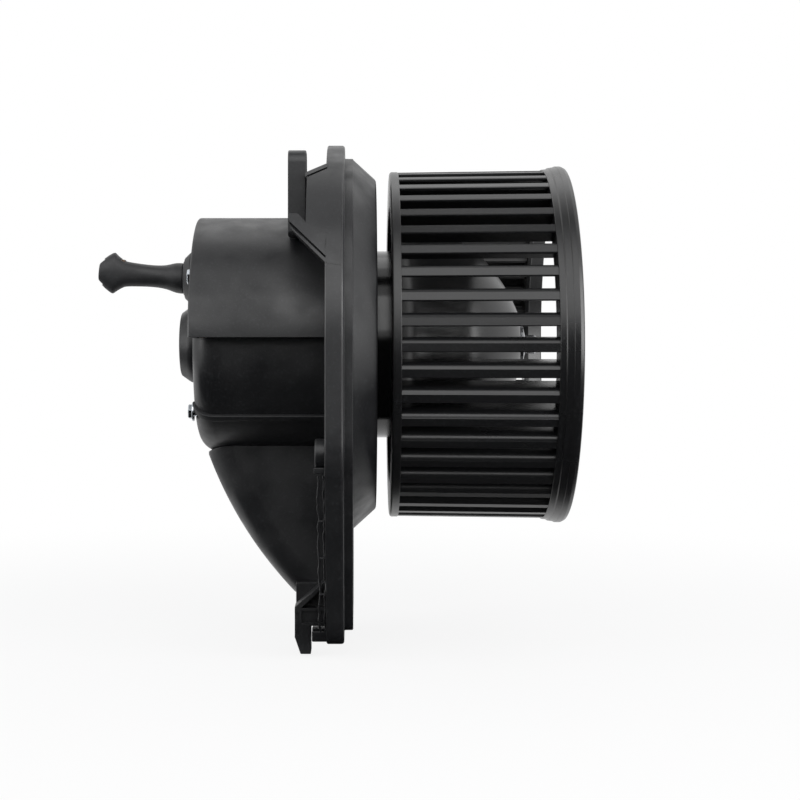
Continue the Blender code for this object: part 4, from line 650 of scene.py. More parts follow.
def dish_line():
    """(x, radius) along the outside of the dish, from the back ring to the hub."""
    can = CAN_BOX[1].z
    front = DISH_BOX[1].x
    hub = SLEEVE_BOX[1].z + 3.7 * MM
    bell = can + 5.2 * MM
    ring = DISH_BOX[0].x + RING_LENGTH
    return [
        (ring, 61.0 * MM), (ring + 5.4 * MM, bell + 0.43 * (61.3 * MM - bell)),
        (43.0 * MM, bell + 0.8 * MM), (52.6 * MM, hub + 0.9 * (bell - hub)),
        (front - 13.0 * MM, hub + 0.68 * (bell - hub)), (front - 6.0 * MM, hub + 0.405 * (bell - hub)),
        (front - 1.3 * MM, hub + 0.14 * (bell - hub)), (front - 0.2 * MM, hub),
    ]


class BLOWER_OT_back_plate(bpy.types.Operator):
    """Build the wheel's back plate: ring, dish and hub"""
    bl_idname = "blower.back_plate"
    bl_label = "Back Plate"

    def execute(self, context):
        sizes = context.scene.blower_wheel_sizes
        outer = smooth_curve(dish_line(), 6)
        inner = offset_line(outer, sizes.wall)[6:]
        back, front = DISH_BOX[0].x, DISH_BOX[1].x
        ring = sizes.land_radius + 0.3 * MM
        bore = SLEEVE_BOX[1].z + 0.2 * MM
        hub_back = SLEEVE_BOX[0].x
        hub = inner[-1][1]
        profile = [(back, 58.8 * MM), (back, ring - 0.9 * MM), (back + 0.25 * MM, ring - 0.3 * MM),
                   (back + 0.8 * MM, ring), (back + 3.1 * MM, ring), (back + 3.5 * MM, ring - 0.2 * MM),
                   (back + RING_LENGTH, ring - 0.6 * MM), (back + RING_LENGTH, 62.0 * MM)]
        profile += outer[1:] + [(front, hub - 0.4 * MM), (front, bore + 0.3 * MM),
                                (front - 0.3 * MM, bore), (hub_back, bore), (hub_back, hub)]
        profile += inner[::-1]
        piece = lathe("wheel_back_plate", profile, 4 * sizes.blade_count)
        dress(piece, FINISHES["wheel_nylon"], "rotor", ["wheel_dish"], 40.0)
        return {"FINISHED"}


class BLOWER_OT_rim(bpy.types.Operator):
    """Build the wheel's inlet rim with its flare and lip"""
    bl_idname = "blower.rim"
    bl_label = "Inlet Rim"

    def execute(self, context):
        sizes = context.scene.blower_wheel_sizes
        start, end, radius = RIM_BOX[0].x, RIM_BOX[1].x, RIM_BOX[1].z
        base = sizes.land_radius + 1.3 * MM
        inner = sizes.land_radius - sizes.chord - 0.5 * MM
        corners = [
            (start, inner, 0.4), (start, base, 0.5), (start + 2.3 * MM, base + 0.2 * MM, 0.4),
            (start + 2.8 * MM, base + 0.7 * MM, 0.4), (start + 5.2 * MM, radius - 0.35 * MM, 0.4),
            (start + 5.6 * MM, radius - 0.05 * MM, 0.3), (end - 1.8 * MM, radius, 0.8),
            (end - 0.4 * MM, radius - 0.7 * MM, 0.6), (end, radius - 1.5 * MM, 0.3),
            (end - 0.5 * MM, radius - 1.9 * MM, 0.3), (end - 2.9 * MM, radius - 3.0 * MM, 0.8),
            (start + sizes.wall, base - 3.4 * MM, 1.2), (start + sizes.wall, inner, 0.4),
        ]
        profile = filleted([(a, b, r * MM) for a, b, r in corners], step_deg=30.0)
        piece = lathe("wheel_inlet_rim", profile, 4 * sizes.blade_count)
        dress(piece, FINISHES["wheel_nylon"], "rotor", ["wheel_rim"], 34.0)
        return {"FINISHED"}


# ---------------------------------------------------------------- mounting flange

def flange_corners(sizes):
    """The flange's outline square to the axis: half round above, tapered to a flat foot."""
    radius, foot = FLANGE_BOX[1].z, sizes.foot
    half, start = sizes.foot_half, sizes.taper_start
    return [
        (radius, radius, radius - TINY), (-radius, radius, radius - TINY),
        (-radius, -start, sizes.taper_round), (-half, -foot, sizes.foot_round),
        (half, -foot, sizes.foot_round), (radius, -start, sizes.taper_round),
    ]


def flange_ring(corners, distance, x):
    """The flange's outline at one level, moved in from its edge."""
    outline = filleted(inset(corners, distance), step_deg=5.0)
    return [(x, y, z) for y, z in outline]


def flange_outside(sizes, corners):
    """The solid flange with its seat and spigot, before it is hollowed."""
    depth, seat, spigot = sizes.depth, sizes.seat, sizes.spigot
    levels = [
        # millimetres in from the edge, level along the axis, and the step's own inset
        (0.9, -depth, 0), (0.35, -depth + 0.15 * MM, 0), (0.0, -depth + 0.6 * MM, 0),
        (0.0, -1.1 * MM, 0), (0.12, -0.6 * MM, 0), (0.45, -0.2 * MM, 0), (1.0, 0.0, 0),
        (-0.3, 0.0, seat), (0.0, 0.3 * MM, seat),
        (0.05, spigot - 0.5 * MM, seat), (0.2, spigot - 0.15 * MM, seat), (0.55, spigot, seat),
    ]
    return loft("mounting_flange_body",
                [flange_ring(corners, step * MM + extra, x) for step, x, extra in levels])


def bowl(sizes, name, skin):
    """The shallow cone on the spigot, smaller by a skin on every side."""
    face = FLANGE_BOX[1].x - skin
    base, rim = sizes.bowl_base - skin, sizes.bowl_face - 0.6 * skin
    start = sizes.spigot - skin
    corners = [(start - MM, 0.0, 0.0), (start - MM, base + 0.4 * MM, 0.0), (start, base, 0.3 * MM),
               (face, rim, 1.9 * MM), (face, 0.0, 0.0)]
    return lathe(name, filleted(corners, closed=False, step_deg=12.0), 192, closed=False)


def flange_pocket(sizes, corners):
    """The hollow behind the flange, less the tower, the duct's frame and the ribs."""
    wall, roof, deep = sizes.wall, sizes.spigot - sizes.roof, -sizes.depth - MM
    tower_radius = COVER_BOX[1].z + 1.5 * MM
    pocket = loft("pocket", [flange_ring(corners, wall, x) for x in (deep, -wall)])
    step = loft("pocket_step", [flange_ring(corners, sizes.seat + wall, x) for x in (-wall - MM, roof)])
    join_to(pocket, step, bowl(sizes, "pocket_bowl", sizes.roof))
    face = FLANGE_BOX[1].x + MM
    duct_half = DUCT_BOX[1].y + 3.0 * MM
    cut_from(pocket,
             rod("tower", deep - MM, face, tower_radius, 128),
             block("duct_frame", (deep - MM, -duct_half, FLANGE_BOX[0].z - MM), (face, duct_half, 0.0)))
    reach, pitch, down = 2 * FLANGE_BOX[1].z, 45.0, 270.0
    for number in range(int(360.0 / pitch)):
        turn = pitch * (number + 0.5)
        if abs(turn - down) < pitch:
            continue
        rib = block("rib", (-sizes.depth + 1.2 * MM, tower_radius - MM, -1.0 * MM),
                    (face, reach, 1.0 * MM))
        rib.data.transform(Matrix.Rotation(radians(turn), 4, "X"))
        cut_from(pocket, rib)
    return pocket


def millimetres(points):
    """Points in metres from points in millimetres."""
    return [tuple(value * MM for value in point) for point in points]


def wrapped(name, outline, inner, outer, far=-20.0 * MM):
    """A side-view outline as a wall that follows the flange's round edge between two radii."""
    piece = plate(name, outline, -FLANGE_BOX[1].z - 6.0 * MM, far)
    size = 60.0 * MM
    sleeve = lathe("sleeve", [(-size, inner), (-size, outer), (size, outer), (size, inner)], 144)
    return combine(piece, [sleeve], "INTERSECT")


def ear_shapes():
    """The screw ear, the web that carries it on from the flange's edge, and the web's ribs and panel."""
    back, radius = FLANGE_BOX[0].x, FLANGE_BOX[1].z
    root = -1.0 * MM
    low, high, top, foot = -47.0 * MM, -31.0 * MM, 77.6 * MM, 43.0 * MM
    ear = plate("ear", filleted([(high, top, 5.2 * MM), (low, top, 5.2 * MM), (low, foot, 2.0 * MM),
                                 (high, foot, 2.0 * MM)]), back, back + 7.2 * MM, "YZ", 0.45 * MM)
    skin = radius + 0.05 * MM
    web = wrapped("ear_web", millimetres([
        (-14.6, 68.2), (-6.1, 72.6), (root / MM, 72.9), (root / MM, 30.0), (-6.1, 30.7),
        (-20.6, 46.0), (-21.3, 47.6), (-21.3, 50.5), (-17.6, 50.3), (-14.6, 46.8)]),
        skin - 2.4 * MM, skin)
    panel_edge = smooth_curve([(-14.9, 46.6), (-10.8, 45.0), (-7.9, 43.0), (-6.9, 40.9), (-7.2, 37.0)], 4)
    panel = wrapped("web_panel", millimetres(
        [(-21.1, 50.3), (-17.7, 50.1)] + panel_edge + [(-6.8, 33.4), (-20.2, 46.4), (-21.1, 47.7)]),
        skin - 1.0 * MM, skin + 0.65 * MM)
    top_rib = wrapped("ear_top_rib", millimetres([
        (-15.4, 67.9), (-6.6, 72.4), (-6.6, 70.6), (-15.4, 66.2)]), 52.0 * MM, skin + 0.3 * MM, high)
    foot_rib = wrapped("ear_foot_rib", millimetres([
        (-20.7, 45.4), (-19.9, 43.9), (-6.6, 30.7), (-6.6, 32.5)]), 52.0 * MM, skin + 0.2 * MM, high)
    groove = wrapped("web_groove", millimetres([
        (-20.9, 46.1), (-7.0, 32.7), (-6.7, 33.4), (-20.5, 46.9)]), skin - 1.3 * MM, radius + MM)
    line = wrapped("rib_shadow", millimetres([
        (-14.4, 66.3), (-7.0, 70.1), (-7.0, 69.7), (-14.4, 65.9)]), skin - 0.8 * MM, radius + MM)
    hole = rod("ear_hole", back - MM, back + 8.2 * MM, 3.3 * MM, 48, y=(low + high) / 2, z=66.0 * MM)
    return (ear, web, panel, top_rib, foot_rib), (groove, line, hole)


def boss_shapes(sizes):
    """The screw boss on the near edge, with the small lip under it."""
    back = -sizes.depth - 3.8 * MM
    y, z = -73.0 * MM, -41.7 * MM
    root = -MM
    corners = [(back, 0.0, 0.0), (back, 5.8 * MM, 0.8 * MM), (root, 5.8 * MM, 0.0), (root, 0.0, 0.0)]
    boss = lathe("boss", filleted(corners, closed=False), 64, closed=False, y=y, z=z)
    lip = block("boss_lip", (back - 0.3 * MM, y - 4.8 * MM, z - 7.2 * MM),
                (root - 3.0 * MM, y + 4.6 * MM, z - 5.0 * MM), 0.3 * MM)
    hole = rod("boss_hole", back - MM, -3.0 * MM, 2.4 * MM, 40, y=y, z=z)
    return boss, lip, hole


def clip_shapes(sizes):
    """The hook at the foot: a sloping roof over a gusset pocket, a shelf and a leg."""
    low, high = -33.0 * MM, -22.0 * MM
    root = sizes.spigot - sizes.roof + 0.5 * MM
    back, leg_front, leg_back = -20.2 * MM, -13.6 * MM, -17.8 * MM
    tip = -FLANGE_BOX[0].z
    top, shoulder, shelf = tip - 29.9 * MM, tip - 19.1 * MM, tip - 11.4 * MM
    heel, skin = tip - 6.9 * MM, -sizes.depth - 0.4 * MM
    side = [(root, -top), (skin, -top), (back, -shoulder), (back, -heel), (leg_back, -tip),
            (leg_front, -tip), (leg_front, -shelf), (root, -shelf)]
    clip = plate("clip", side, low, high, "XZ", 0.3 * MM)
    inner = -sizes.depth - 1.2 * MM
    gusset = [(inner, -top - 2.6 * MM), (back + 2.6 * MM, -shoulder - 0.4 * MM),
              (inner, -shoulder - 0.4 * MM)]
    pocket = plate("clip_pocket", gusset, low - MM, low + 5.5 * MM)
    panel = [(leg_back + 0.4 * MM, -shoulder - 1.6 * MM), (inner, -shoulder - 1.6 * MM),
             (inner, -shelf + 1.3 * MM), (leg_back + 0.4 * MM, -shelf + 1.3 * MM)]
    window = plate("clip_window", panel, low - MM, low + 0.9 * MM)
    slot = block("clip_slot", (back - MM, low - MM, -heel + 0.6 * MM),
                 (back + 1.7 * MM, low + 1.2 * MM, -shoulder - 2.4 * MM))
    ledge = block("clip_ledge", (leg_front + 0.5 * MM, low - 0.5 * MM, -shelf - 1.9 * MM),
                  (-sizes.depth + 1.4 * MM, low + 4.0 * MM, -shelf - 0.8 * MM), 0.2 * MM)
    heel_wall = block("clip_back_wall", (back + 0.2 * MM, high - 0.5 * MM, -shoulder - 1.0 * MM),
                      (-sizes.depth + MM, high + 3.6 * MM, -top - 2.4 * MM), 0.3 * MM)
    lip = block("foot_lip", (leg_front + 0.4 * MM, -34.0 * MM, -sizes.foot + 0.1 * MM),
                (-sizes.depth + MM, 34.0 * MM, -sizes.foot + 4.4 * MM), 0.5 * MM)
    return (clip, ledge, heel_wall, lip), (pocket, window, slot)


class BLOWER_OT_flange(bpy.types.Operator):
    """Build the mounting flange with its bowl, ear, boss and clip"""
    bl_idname = "blower.flange"
    bl_label = "Mounting Flange"

    def execute(self, context):
        sizes = context.scene.blower_flange_sizes
        corners = flange_corners(sizes)
        body = flange_outside(sizes, corners)
        join_to(body, bowl(sizes, "bowl", 0.0))
        cut_from(body, flange_pocket(sizes, corners))
        face, deep = FLANGE_BOX[1].x + MM, -sizes.depth - MM
        tower_radius = COVER_BOX[1].z - 1.0 * MM
        can_hole = CAN_BOX[1].z + 1.6 * MM
        room_back, room_front = -sizes.depth + sizes.roof, FLANGE_BOX[1].x - sizes.roof
        room = [(room_back, MM), (room_back, tower_radius), (room_front, tower_radius), (room_front, MM)]
        hole = [(deep, 0.0, 0.0), (deep, can_hole, 0.0), (FLANGE_BOX[1].x - 0.9 * MM, can_hole, 0.6 * MM),
                (face, can_hole + 1.9 * MM, 0.0), (face, 0.0, 0.0)]
        cut_from(body, lathe("damper_room", room, 128),
                 lathe("can_hole", filleted(hole, closed=False), 160, closed=False),
                 block("air_hole", (deep, -14.0 * MM, 9.6 * MM - sizes.foot),
                       (face, 14.0 * MM, -82.5 * MM)))
        ear, ear_cuts = ear_shapes()
        boss, lip, boss_hole = boss_shapes(sizes)
        clip, clip_cuts = clip_shapes(sizes)
        join_to(body, *ear, boss, lip, *clip)
        cut_from(body, *ear_cuts, boss_hole, *clip_cuts)
        dress(body, FINISHES["black_nylon"], "housing", ["mounting_flange"], 30.0)
        return {"FINISHED"}


def flange_half(sizes, z):
    """Half width of the flange at a height."""
    foot, radius = sizes.foot, FLANGE_BOX[1].z
    if z > -sizes.taper_start:
        return radius
    share = (-z - sizes.taper_start) / (foot - sizes.taper_start)
    return radius - share * (radius - sizes.foot_half)


class BLOWER_OT_seam(bpy.types.Operator):
    """Build the ragged moulding flash down the flange's back, with its small bridges"""
    bl_idname = "blower.seam"
    bl_label = "Moulding Flash"

    def execute(self, context):
        sizes = context.scene.blower_flange_sizes
        top, bottom, count = -49.5 * MM, -114.5 * MM, 90
        apart, proud, bridge = 2.1 * MM, 1.6 * MM, 0.7 * MM
        shapes = []
        for line in (0, 1):
            points, radii = [], []
            for step in range(count + 1):
                z = top + (bottom - top) * step / count
                wander = noise.noise(Vector((z * 260.0, 7.3 * line, 0.4)))
                rough = noise.noise(Vector((z * 900.0, 3.1 + line, 2.2)))
                x = -sizes.depth - 0.25 * MM - apart * line + wander * 0.7 * MM
                points.append((x, -(flange_half(sizes, z) - proud) + rough * 0.3 * MM, z))
                radii.append((0.42 + 0.22 * rough) * MM)
            shapes.append(cord_mesh(f"flash_{line}", points, radii))
        for z in (-67.6 * MM, -82.8 * MM, -98.0 * MM):
            y = -(flange_half(sizes, z) - proud)
            shapes.append(block("bridge", (-sizes.depth - 2.2 * MM, y - bridge, z - bridge / 2),
                                (-sizes.depth + 0.3 * MM, y + bridge, z + bridge / 2), 0.15 * MM))
        piece = gather(shapes[0], shapes[1:])
        piece.name = piece.data.name = "flange_moulding_flash"
        dress(piece, FINISHES["black_nylon"], "housing", angle_deg=45.0)
        return {"FINISHED"}


# ---------------------------------------------------------------- motor housing

def half_space(name, above, height):
    """A box far larger than the blower, above or below a height."""
    size = 0.3
    low, high = (height, size) if above else (-size, height)
    return block(name, (-size, -size, low), (size, size, high))


class BLOWER_OT_cover(bpy.types.Operator):
    """Build the upper half of the motor housing"""
    bl_idname = "blower.cover"
    bl_label = "Upper Cover"

    def execute(self, context):
        sizes = context.scene.blower_housing_sizes
        back, front, radius, floor = COVER_BOX[0].x, COVER_BOX[1].x, COVER_BOX[1].z, COVER_BOX[0].z
        wall = sizes.wall
        corners = [(front, 0.0, 0.0), (front, radius, 0.3 * MM), (back, radius, sizes.edge),
                   (back, 0.0, 0.0)]
        cover = lathe("motor_upper_cover", filleted(corners, closed=False, step_deg=18.0), 192,
                      closed=False)
        inside = [(MM, 0.0, 0.0), (MM, radius - wall, 0.0), (back + wall, radius - wall, 1.0 * MM),
                  (back + wall, 0.0, 0.0)]
        room = lathe("room", filleted(inside, closed=False), 128, closed=False)
        cut_from(room, half_space("room_floor", False, floor + wall))
        cut_from(cover, room,
                 rod("channel", back + wall, MM, CAN_BOX[1].z + 3.5 * MM, 128),
                 half_space("underside", False, floor),
                 rod("cap_hole", back - MM, 0.0, CAP_BOX[1].z + HOLE_GAP, 96),
                 rod("gland_hole", back - MM, back + 2 * wall, 8.3 * MM, 64, z=GLAND_Z))
        soften(cover, 0.9 * MM, 3, 60.0)
        dress(cover, FINISHES["black_nylon"], "housing", ["upper_cover"])
        return {"FINISHED"}


def shell_line(radius, end, edge, steps=8):
    """From the open front, along the drum and round its back edge, to the axis."""
    corner = arc((end + edge, radius - edge), edge, 90.0, 180.0, steps)
    return [(SHELL_BOX[1].x, 0.0), (SHELL_BOX[1].x, radius)] + corner + [(end, 0.0)]


class BLOWER_OT_shell(bpy.types.Operator):
    """Build the lower half of the motor housing, with its side ribs"""
    bl_idname = "blower.shell"
    bl_label = "Lower Shell"

    def execute(self, context):
        sizes = context.scene.blower_housing_sizes
        radius = SHELL_RADIUS
        end = SHELL_BOX[0].x + sizes.rib_height / 2
        wall, edge, top = sizes.wall, sizes.shell_edge, SHELL_BOX[1].z
        shell = lathe("motor_lower_shell", shell_line(radius, end, edge), 192, closed=False)
        for side in (-1, 1):
            outer = shell_line(radius + sizes.rib_height, end - sizes.rib_height / 2,
                               edge + sizes.rib_height / 2)[1:-1]
            inner = shell_line(radius - wall / 2, end + wall / 2, edge - wall / 2)[1:-1]
            half = sizes.rib_width / 2
            rib = plate("shell_rib", outer + inner[::-1], -half, half, "XZ", 0.5 * MM)
            rib.data.transform(Matrix.Rotation(-side * (pi / 2 + sizes.rib_angle), 4, "X"))
            join_to(shell, rib)
        inner = shell_line(radius - wall, end + wall, edge - wall)
        inner[0], inner[1] = (MM, 0.0), (MM, radius - wall)
        cut_from(shell, lathe("shell_room", inner, 128, closed=False), half_space("top", True, top),
                 rod("cap_hole", end - 2 * MM, 0.0, CAP_BOX[1].z + HOLE_GAP, 96),
                 block("port", (-54.0 * MM, -12.1 * MM, -2 * radius),
                       (-22.0 * MM, 12.1 * MM, -radius / 2)))
        spot = sizes.screw_circle * sin(pi / 4)
        for y in (-spot, spot):
            cut_from(shell, rod("screw_seat", end - 3 * MM, end - 0.15 * MM, 4.6 * MM, 48, y=y, z=-spot))
        soften(shell, 0.3 * MM, 2, 60.0)
        dress(shell, FINISHES["black_nylon"], "housing", ["lower_shell"])
        return {"FINISHED"}


def duct_ring(sizes, y, wall, share=0.0):
    """Side view of the duct at one depth; share 1 draws its back wall in by the full edge."""
    back = (-57.5 * MM, -46.5 * MM)
    front = (-21.3 * MM, DUCT_BOX[0].z + 7.9 * MM)
    start, end = Vector(back), Vector(front)
    chord = end - start
    outward = Vector((chord.y, -chord.x)).normalized()
    if outward.y > 0:
        outward.negate()
    steps = 28
    curve = []
    for step in range(steps + 1):
        part = step / steps
        bow = 4 * part * (1 - part) * sizes.duct_bulge - wall - share * sizes.duct_edge
        spot = start + chord * part + outward * bow
        curve.append((spot.x, y, spot.y))
    seat = DUCT_BOX[1].x + (MM if wall else 0.0)
    lid = back[1] / 2
    foot = DUCT_BOX[0].z + wall
    return [(curve[0][0], y, lid)] + curve + [(seat, y, foot), (seat, y, lid)]


def duct_body(sizes, name, wall):
    """The duct as a solid, or with a wall its inside; its back edges are rounded."""
    half, edge = DUCT_BOX[1].y - wall, max(sizes.duct_edge - wall, MM)
    rings = []
    steps = 7
    for step in range(steps + 1):
        turn = pi / 2 * step / steps
        rings.append(duct_ring(sizes, -half + edge * (1 - sin(turn)), wall,
                               (1 - cos(turn)) * edge / sizes.duct_edge))
    mirrored = [[(x, -y, z) for x, y, z in ring] for ring in rings]
    return loft(name, rings[::-1] + mirrored)


class BLOWER_OT_duct(bpy.types.Operator):
    """Build the cooling duct between the drum and the flange"""
    bl_idname = "blower.duct"
    bl_label = "Cooling Duct"

    def execute(self, context):
        sizes = context.scene.blower_housing_sizes
        duct = duct_body(sizes, "motor_cooling_duct", 0.0)
        cut_from(duct, duct_body(sizes, "duct_room", sizes.wall),
                 rod("duct_saddle", SHELL_BOX[0].x - 2 * MM, DUCT_BOX[1].x + 2 * MM,
                     SHELL_RADIUS + 0.25 * MM, 160))
        dress(duct, FINISHES["black_nylon"], "housing", ["cooling_duct"], 35.0)
        return {"FINISHED"}


class BLOWER_OT_bearing_cap(bpy.types.Operator):
    """Build the round cap over the rear bearing"""
    bl_idname = "blower.bearing_cap"
    bl_label = "Bearing Cap"

    def execute(self, context):
        end, foot, radius = CAP_BOX[0].x, CAP_BOX[1].x, CAP_BOX[1].z
        inner = 9.9 * MM
        wall = 2.2 * MM
        corners = [(end, 0.0, 0.0), (end + 0.5 * MM, radius - 3.2 * MM, 1.2 * MM),
                   (end + 5.0 * MM, radius, 4.2 * MM), (foot, radius, 0.0), (foot, inner, 0.0),
                   (end + wall, inner, 0.0), (end + wall, 0.0, 0.0)]
        profile = filleted(corners, closed=False, step_deg=10.0)
        cap = lathe("rear_motor_cap", profile, 128, closed=False)
        dress(cap, FINISHES["black_nylon"], "housing", ["rear_bearing_cap"])
        return {"FINISHED"}


class BLOWER_OT_motor_can(bpy.types.Operator):
    """Build the drawn steel can of the motor"""
    bl_idname = "blower.motor_can"
    bl_label = "Motor Can"

    def execute(self, context):
        back, tip, radius = CAN_BOX[0].x, CAN_BOX[1].x, CAN_BOX[1].z
        front, wall, neck, seat, bore = 46.0 * MM, 1.6 * MM, 9.6 * MM, 6.9 * MM, 4.6 * MM
        corners = [
            (back, radius - wall, 0.2), (back, radius, 0.3), (front, radius, 6.0), (front, neck, 0.8),
            (tip, neck, 0.9), (tip, bore, 0.3), (tip - wall, bore, 0.0), (tip - wall, seat, 0.0),
            (front - wall, seat, 0.0), (front - wall, radius - wall, 4.4),
        ]
        profile = filleted([(a, b, r * MM) for a, b, r in corners], step_deg=9.0)
        can = lathe("motor_steel_can", profile, 192)
        dress(can, FINISHES["black_steel"], "housing", ["motor_can"])
        return {"FINISHED"}


# ---------------------------------------------------------------- screws

def screw_mesh(sizes):
    """One screw at the origin, pointing along X: hexagon washer head with a socket."""
    head, height, tip = sizes.screw_head, 2.3 * MM, 4.6 * MM
    face = -0.3 * MM
    top = face - height
    hexagon, shank, chamfer = 0.8 * head, 1.9 * MM, 0.35 * MM
    sides = 24
    levels = [
        # along X, radius, and whether the level is a hexagon
        (top + 1.2 * MM, 0.0, False), (top + 1.2 * MM, 1.5 * MM, True), (top, 1.6 * MM, True),
        (top, hexagon - chamfer, True), (top + chamfer, hexagon, True),
        (face - 0.75 * MM, hexagon, True), (face - 0.7 * MM, head - 0.2 * MM, False),
        (face - 0.5 * MM, head, False), (face, head, False), (face, shank, False),
        (tip, shank, False), (tip, 0.0, False),
    ]
    rings = []
    for x, radius, six in levels:
        ring = []
        for s in range(sides):
            turn = 2 * pi * s / sides
            reach = radius / cos((turn % (pi / 3)) - pi / 6) * cos(pi / 6) if six else radius
            ring.append((x, -reach * cos(turn), reach * sin(turn)))
        rings.append(ring)
    return loft("housing_screws", rings)


def screw_tree():
    """Copies of the incoming screw on a circle round the X axis; the lower ones have their own seat."""
    tree, ids = start_tree("screws_on_circle", (
        ("Count", "NodeSocketInt"), ("Circle Radius", "NodeSocketFloat"),
        ("Upper Seat", "NodeSocketFloat"), ("Lower Seat", "NodeSocketFloat"),
        ("Seed", "NodeSocketInt"), ("Finish", "NodeSocketMaterial")))
    nodes, links = tree.nodes, tree.links
    given = nodes.new("NodeGroupInput")
    index = nodes.new("GeometryNodeInputIndex")
    pitch = maths(tree, "DIVIDE", 2 * pi, given.outputs["Count"])
    turn = maths(tree, "ADD", maths(tree, "MULTIPLY", index.outputs[0], pitch), pi / 4)
    aside = maths(tree, "MULTIPLY", maths(tree, "COSINE", turn), given.outputs["Circle Radius"])
    height = maths(tree, "MULTIPLY", maths(tree, "SINE", turn), given.outputs["Circle Radius"])
    upper = nodes.new("FunctionNodeCompare")
    upper.data_type = "FLOAT"
    upper.operation = "GREATER_THAN"
    choose = nodes.new("GeometryNodeSwitch")
    choose.input_type = "FLOAT"
    where = nodes.new("ShaderNodeCombineXYZ")
    place = nodes.new("GeometryNodeSetPosition")
    swing = nodes.new("FunctionNodeRandomValue")
    swing.data_type = "FLOAT"
    minimum, maximum = [s for s in swing.inputs if s.name in ("Min", "Max") and s.type == "VALUE"]
    minimum.default_value, maximum.default_value = 0.0, pi / 3
    drawn = [s for s in swing.outputs if s.type == "VALUE"][0]
    links.new(spare_points(tree, given.outputs["Count"]), place.inputs["Geometry"])
    links.new(height, upper.inputs["A"])
    links.new(upper.outputs["Result"], choose.inputs["Switch"])
    links.new(given.outputs["Lower Seat"], choose.inputs["False"])
    links.new(given.outputs["Upper Seat"], choose.inputs["True"])
    links.new(choose.outputs["Output"], where.inputs["X"])
    links.new(aside, where.inputs["Y"])
    links.new(height, where.inputs["Z"])
    links.new(where.outputs["Vector"], place.inputs["Position"])
    links.new(given.outputs["Seed"], swing.inputs["Seed"])
    end_tree(tree, given, place.outputs["Geometry"], drawn)
    return tree, ids


class BLOWER_OT_screws(bpy.types.Operator):
    """Build the four screws in the back of the housing"""
    bl_idname = "blower.screws"
    bl_label = "Screws"

    def execute(self, context):
        sizes = context.scene.blower_housing_sizes
        nodes = [name for name in frame["nodes"] if name.startswith("housing_screw_")]
        if len(nodes) != 4:
            raise RuntimeError("the frame does not have four housing screws")
        screws = screw_mesh(sizes)
        tree, ids = screw_tree()
        repeat = screws.modifiers.new("on_circle", "NODES")
        repeat.node_group = tree
        repeat[ids["Count"]] = len(nodes)
        repeat[ids["Circle Radius"]] = sizes.screw_circle
        repeat[ids["Upper Seat"]] = COVER_BOX[0].x
        repeat[ids["Lower Seat"]] = SHELL_BOX[0].x + sizes.rib_height / 2
        repeat[ids["Seed"]] = 3
        repeat[ids["Finish"]] = FINISHES["zinc_steel"]
        settle(screws)
        dress(screws, FINISHES["zinc_steel"], "housing", nodes, 25.0)
        return {"FINISHED"}


# ---------------------------------------------------------------- lead outlet

class BLOWER_OT_gland(bpy.types.Operator):
    """Build the rubber grommet in the end wall"""
    bl_idname = "blower.gland"
    bl_label = "Grommet"

    def execute(self, context):
        end, inside, radius = GLAND_BOX[0].x, GLAND_BOX[1].x, GLAND_BOX[1].y
        face = COVER_BOX[0].x - 0.25 * MM
        corners = [
            (inside, 3.7, 0.3), (inside, 8.0, 0.5), (face, 8.0, 0.0), (face, radius / MM, 0.4),
            (end + 3.0 * MM, radius / MM, 0.6), (end + 0.5 * MM, radius / MM - 2.4, 0.8),
            (end + 0.5 * MM, 7.6, 0.4), (end, 7.2, 0.4), (end, 3.7, 0.3),
        ]
        profile = filleted([(x, r * MM, fillet * MM) for x, r, fillet in corners], step_deg=20.0)
        gland = lathe("rubber_grommet", profile, 96, z=GLAND_Z)
        dress(gland, FINISHES["rubber"], "housing", ["lead_gland"])
        return {"FINISHED"}


def boot_ring(share, high, wide, power, rise):
    """The sleeve's outline at a share of its length, leaning more towards the mouth."""
    start, end = BOOT_BOX[1].x, BOOT_BOX[0].x
    x, z = start - share * (start - end), GLAND_Z + share * rise
    sides = 40
    ring = []
    for s in range(sides):
        turn = 2 * pi * s / sides
        c, d = cos(turn), sin(turn)
        fit = (abs(c) ** power + abs(d) ** power) ** (-1 / power)
        shear = 0.09 * share ** 2 * high * d * fit
        ring.append((x + shear, wide * c * fit, z + high * d * fit))
    return ring


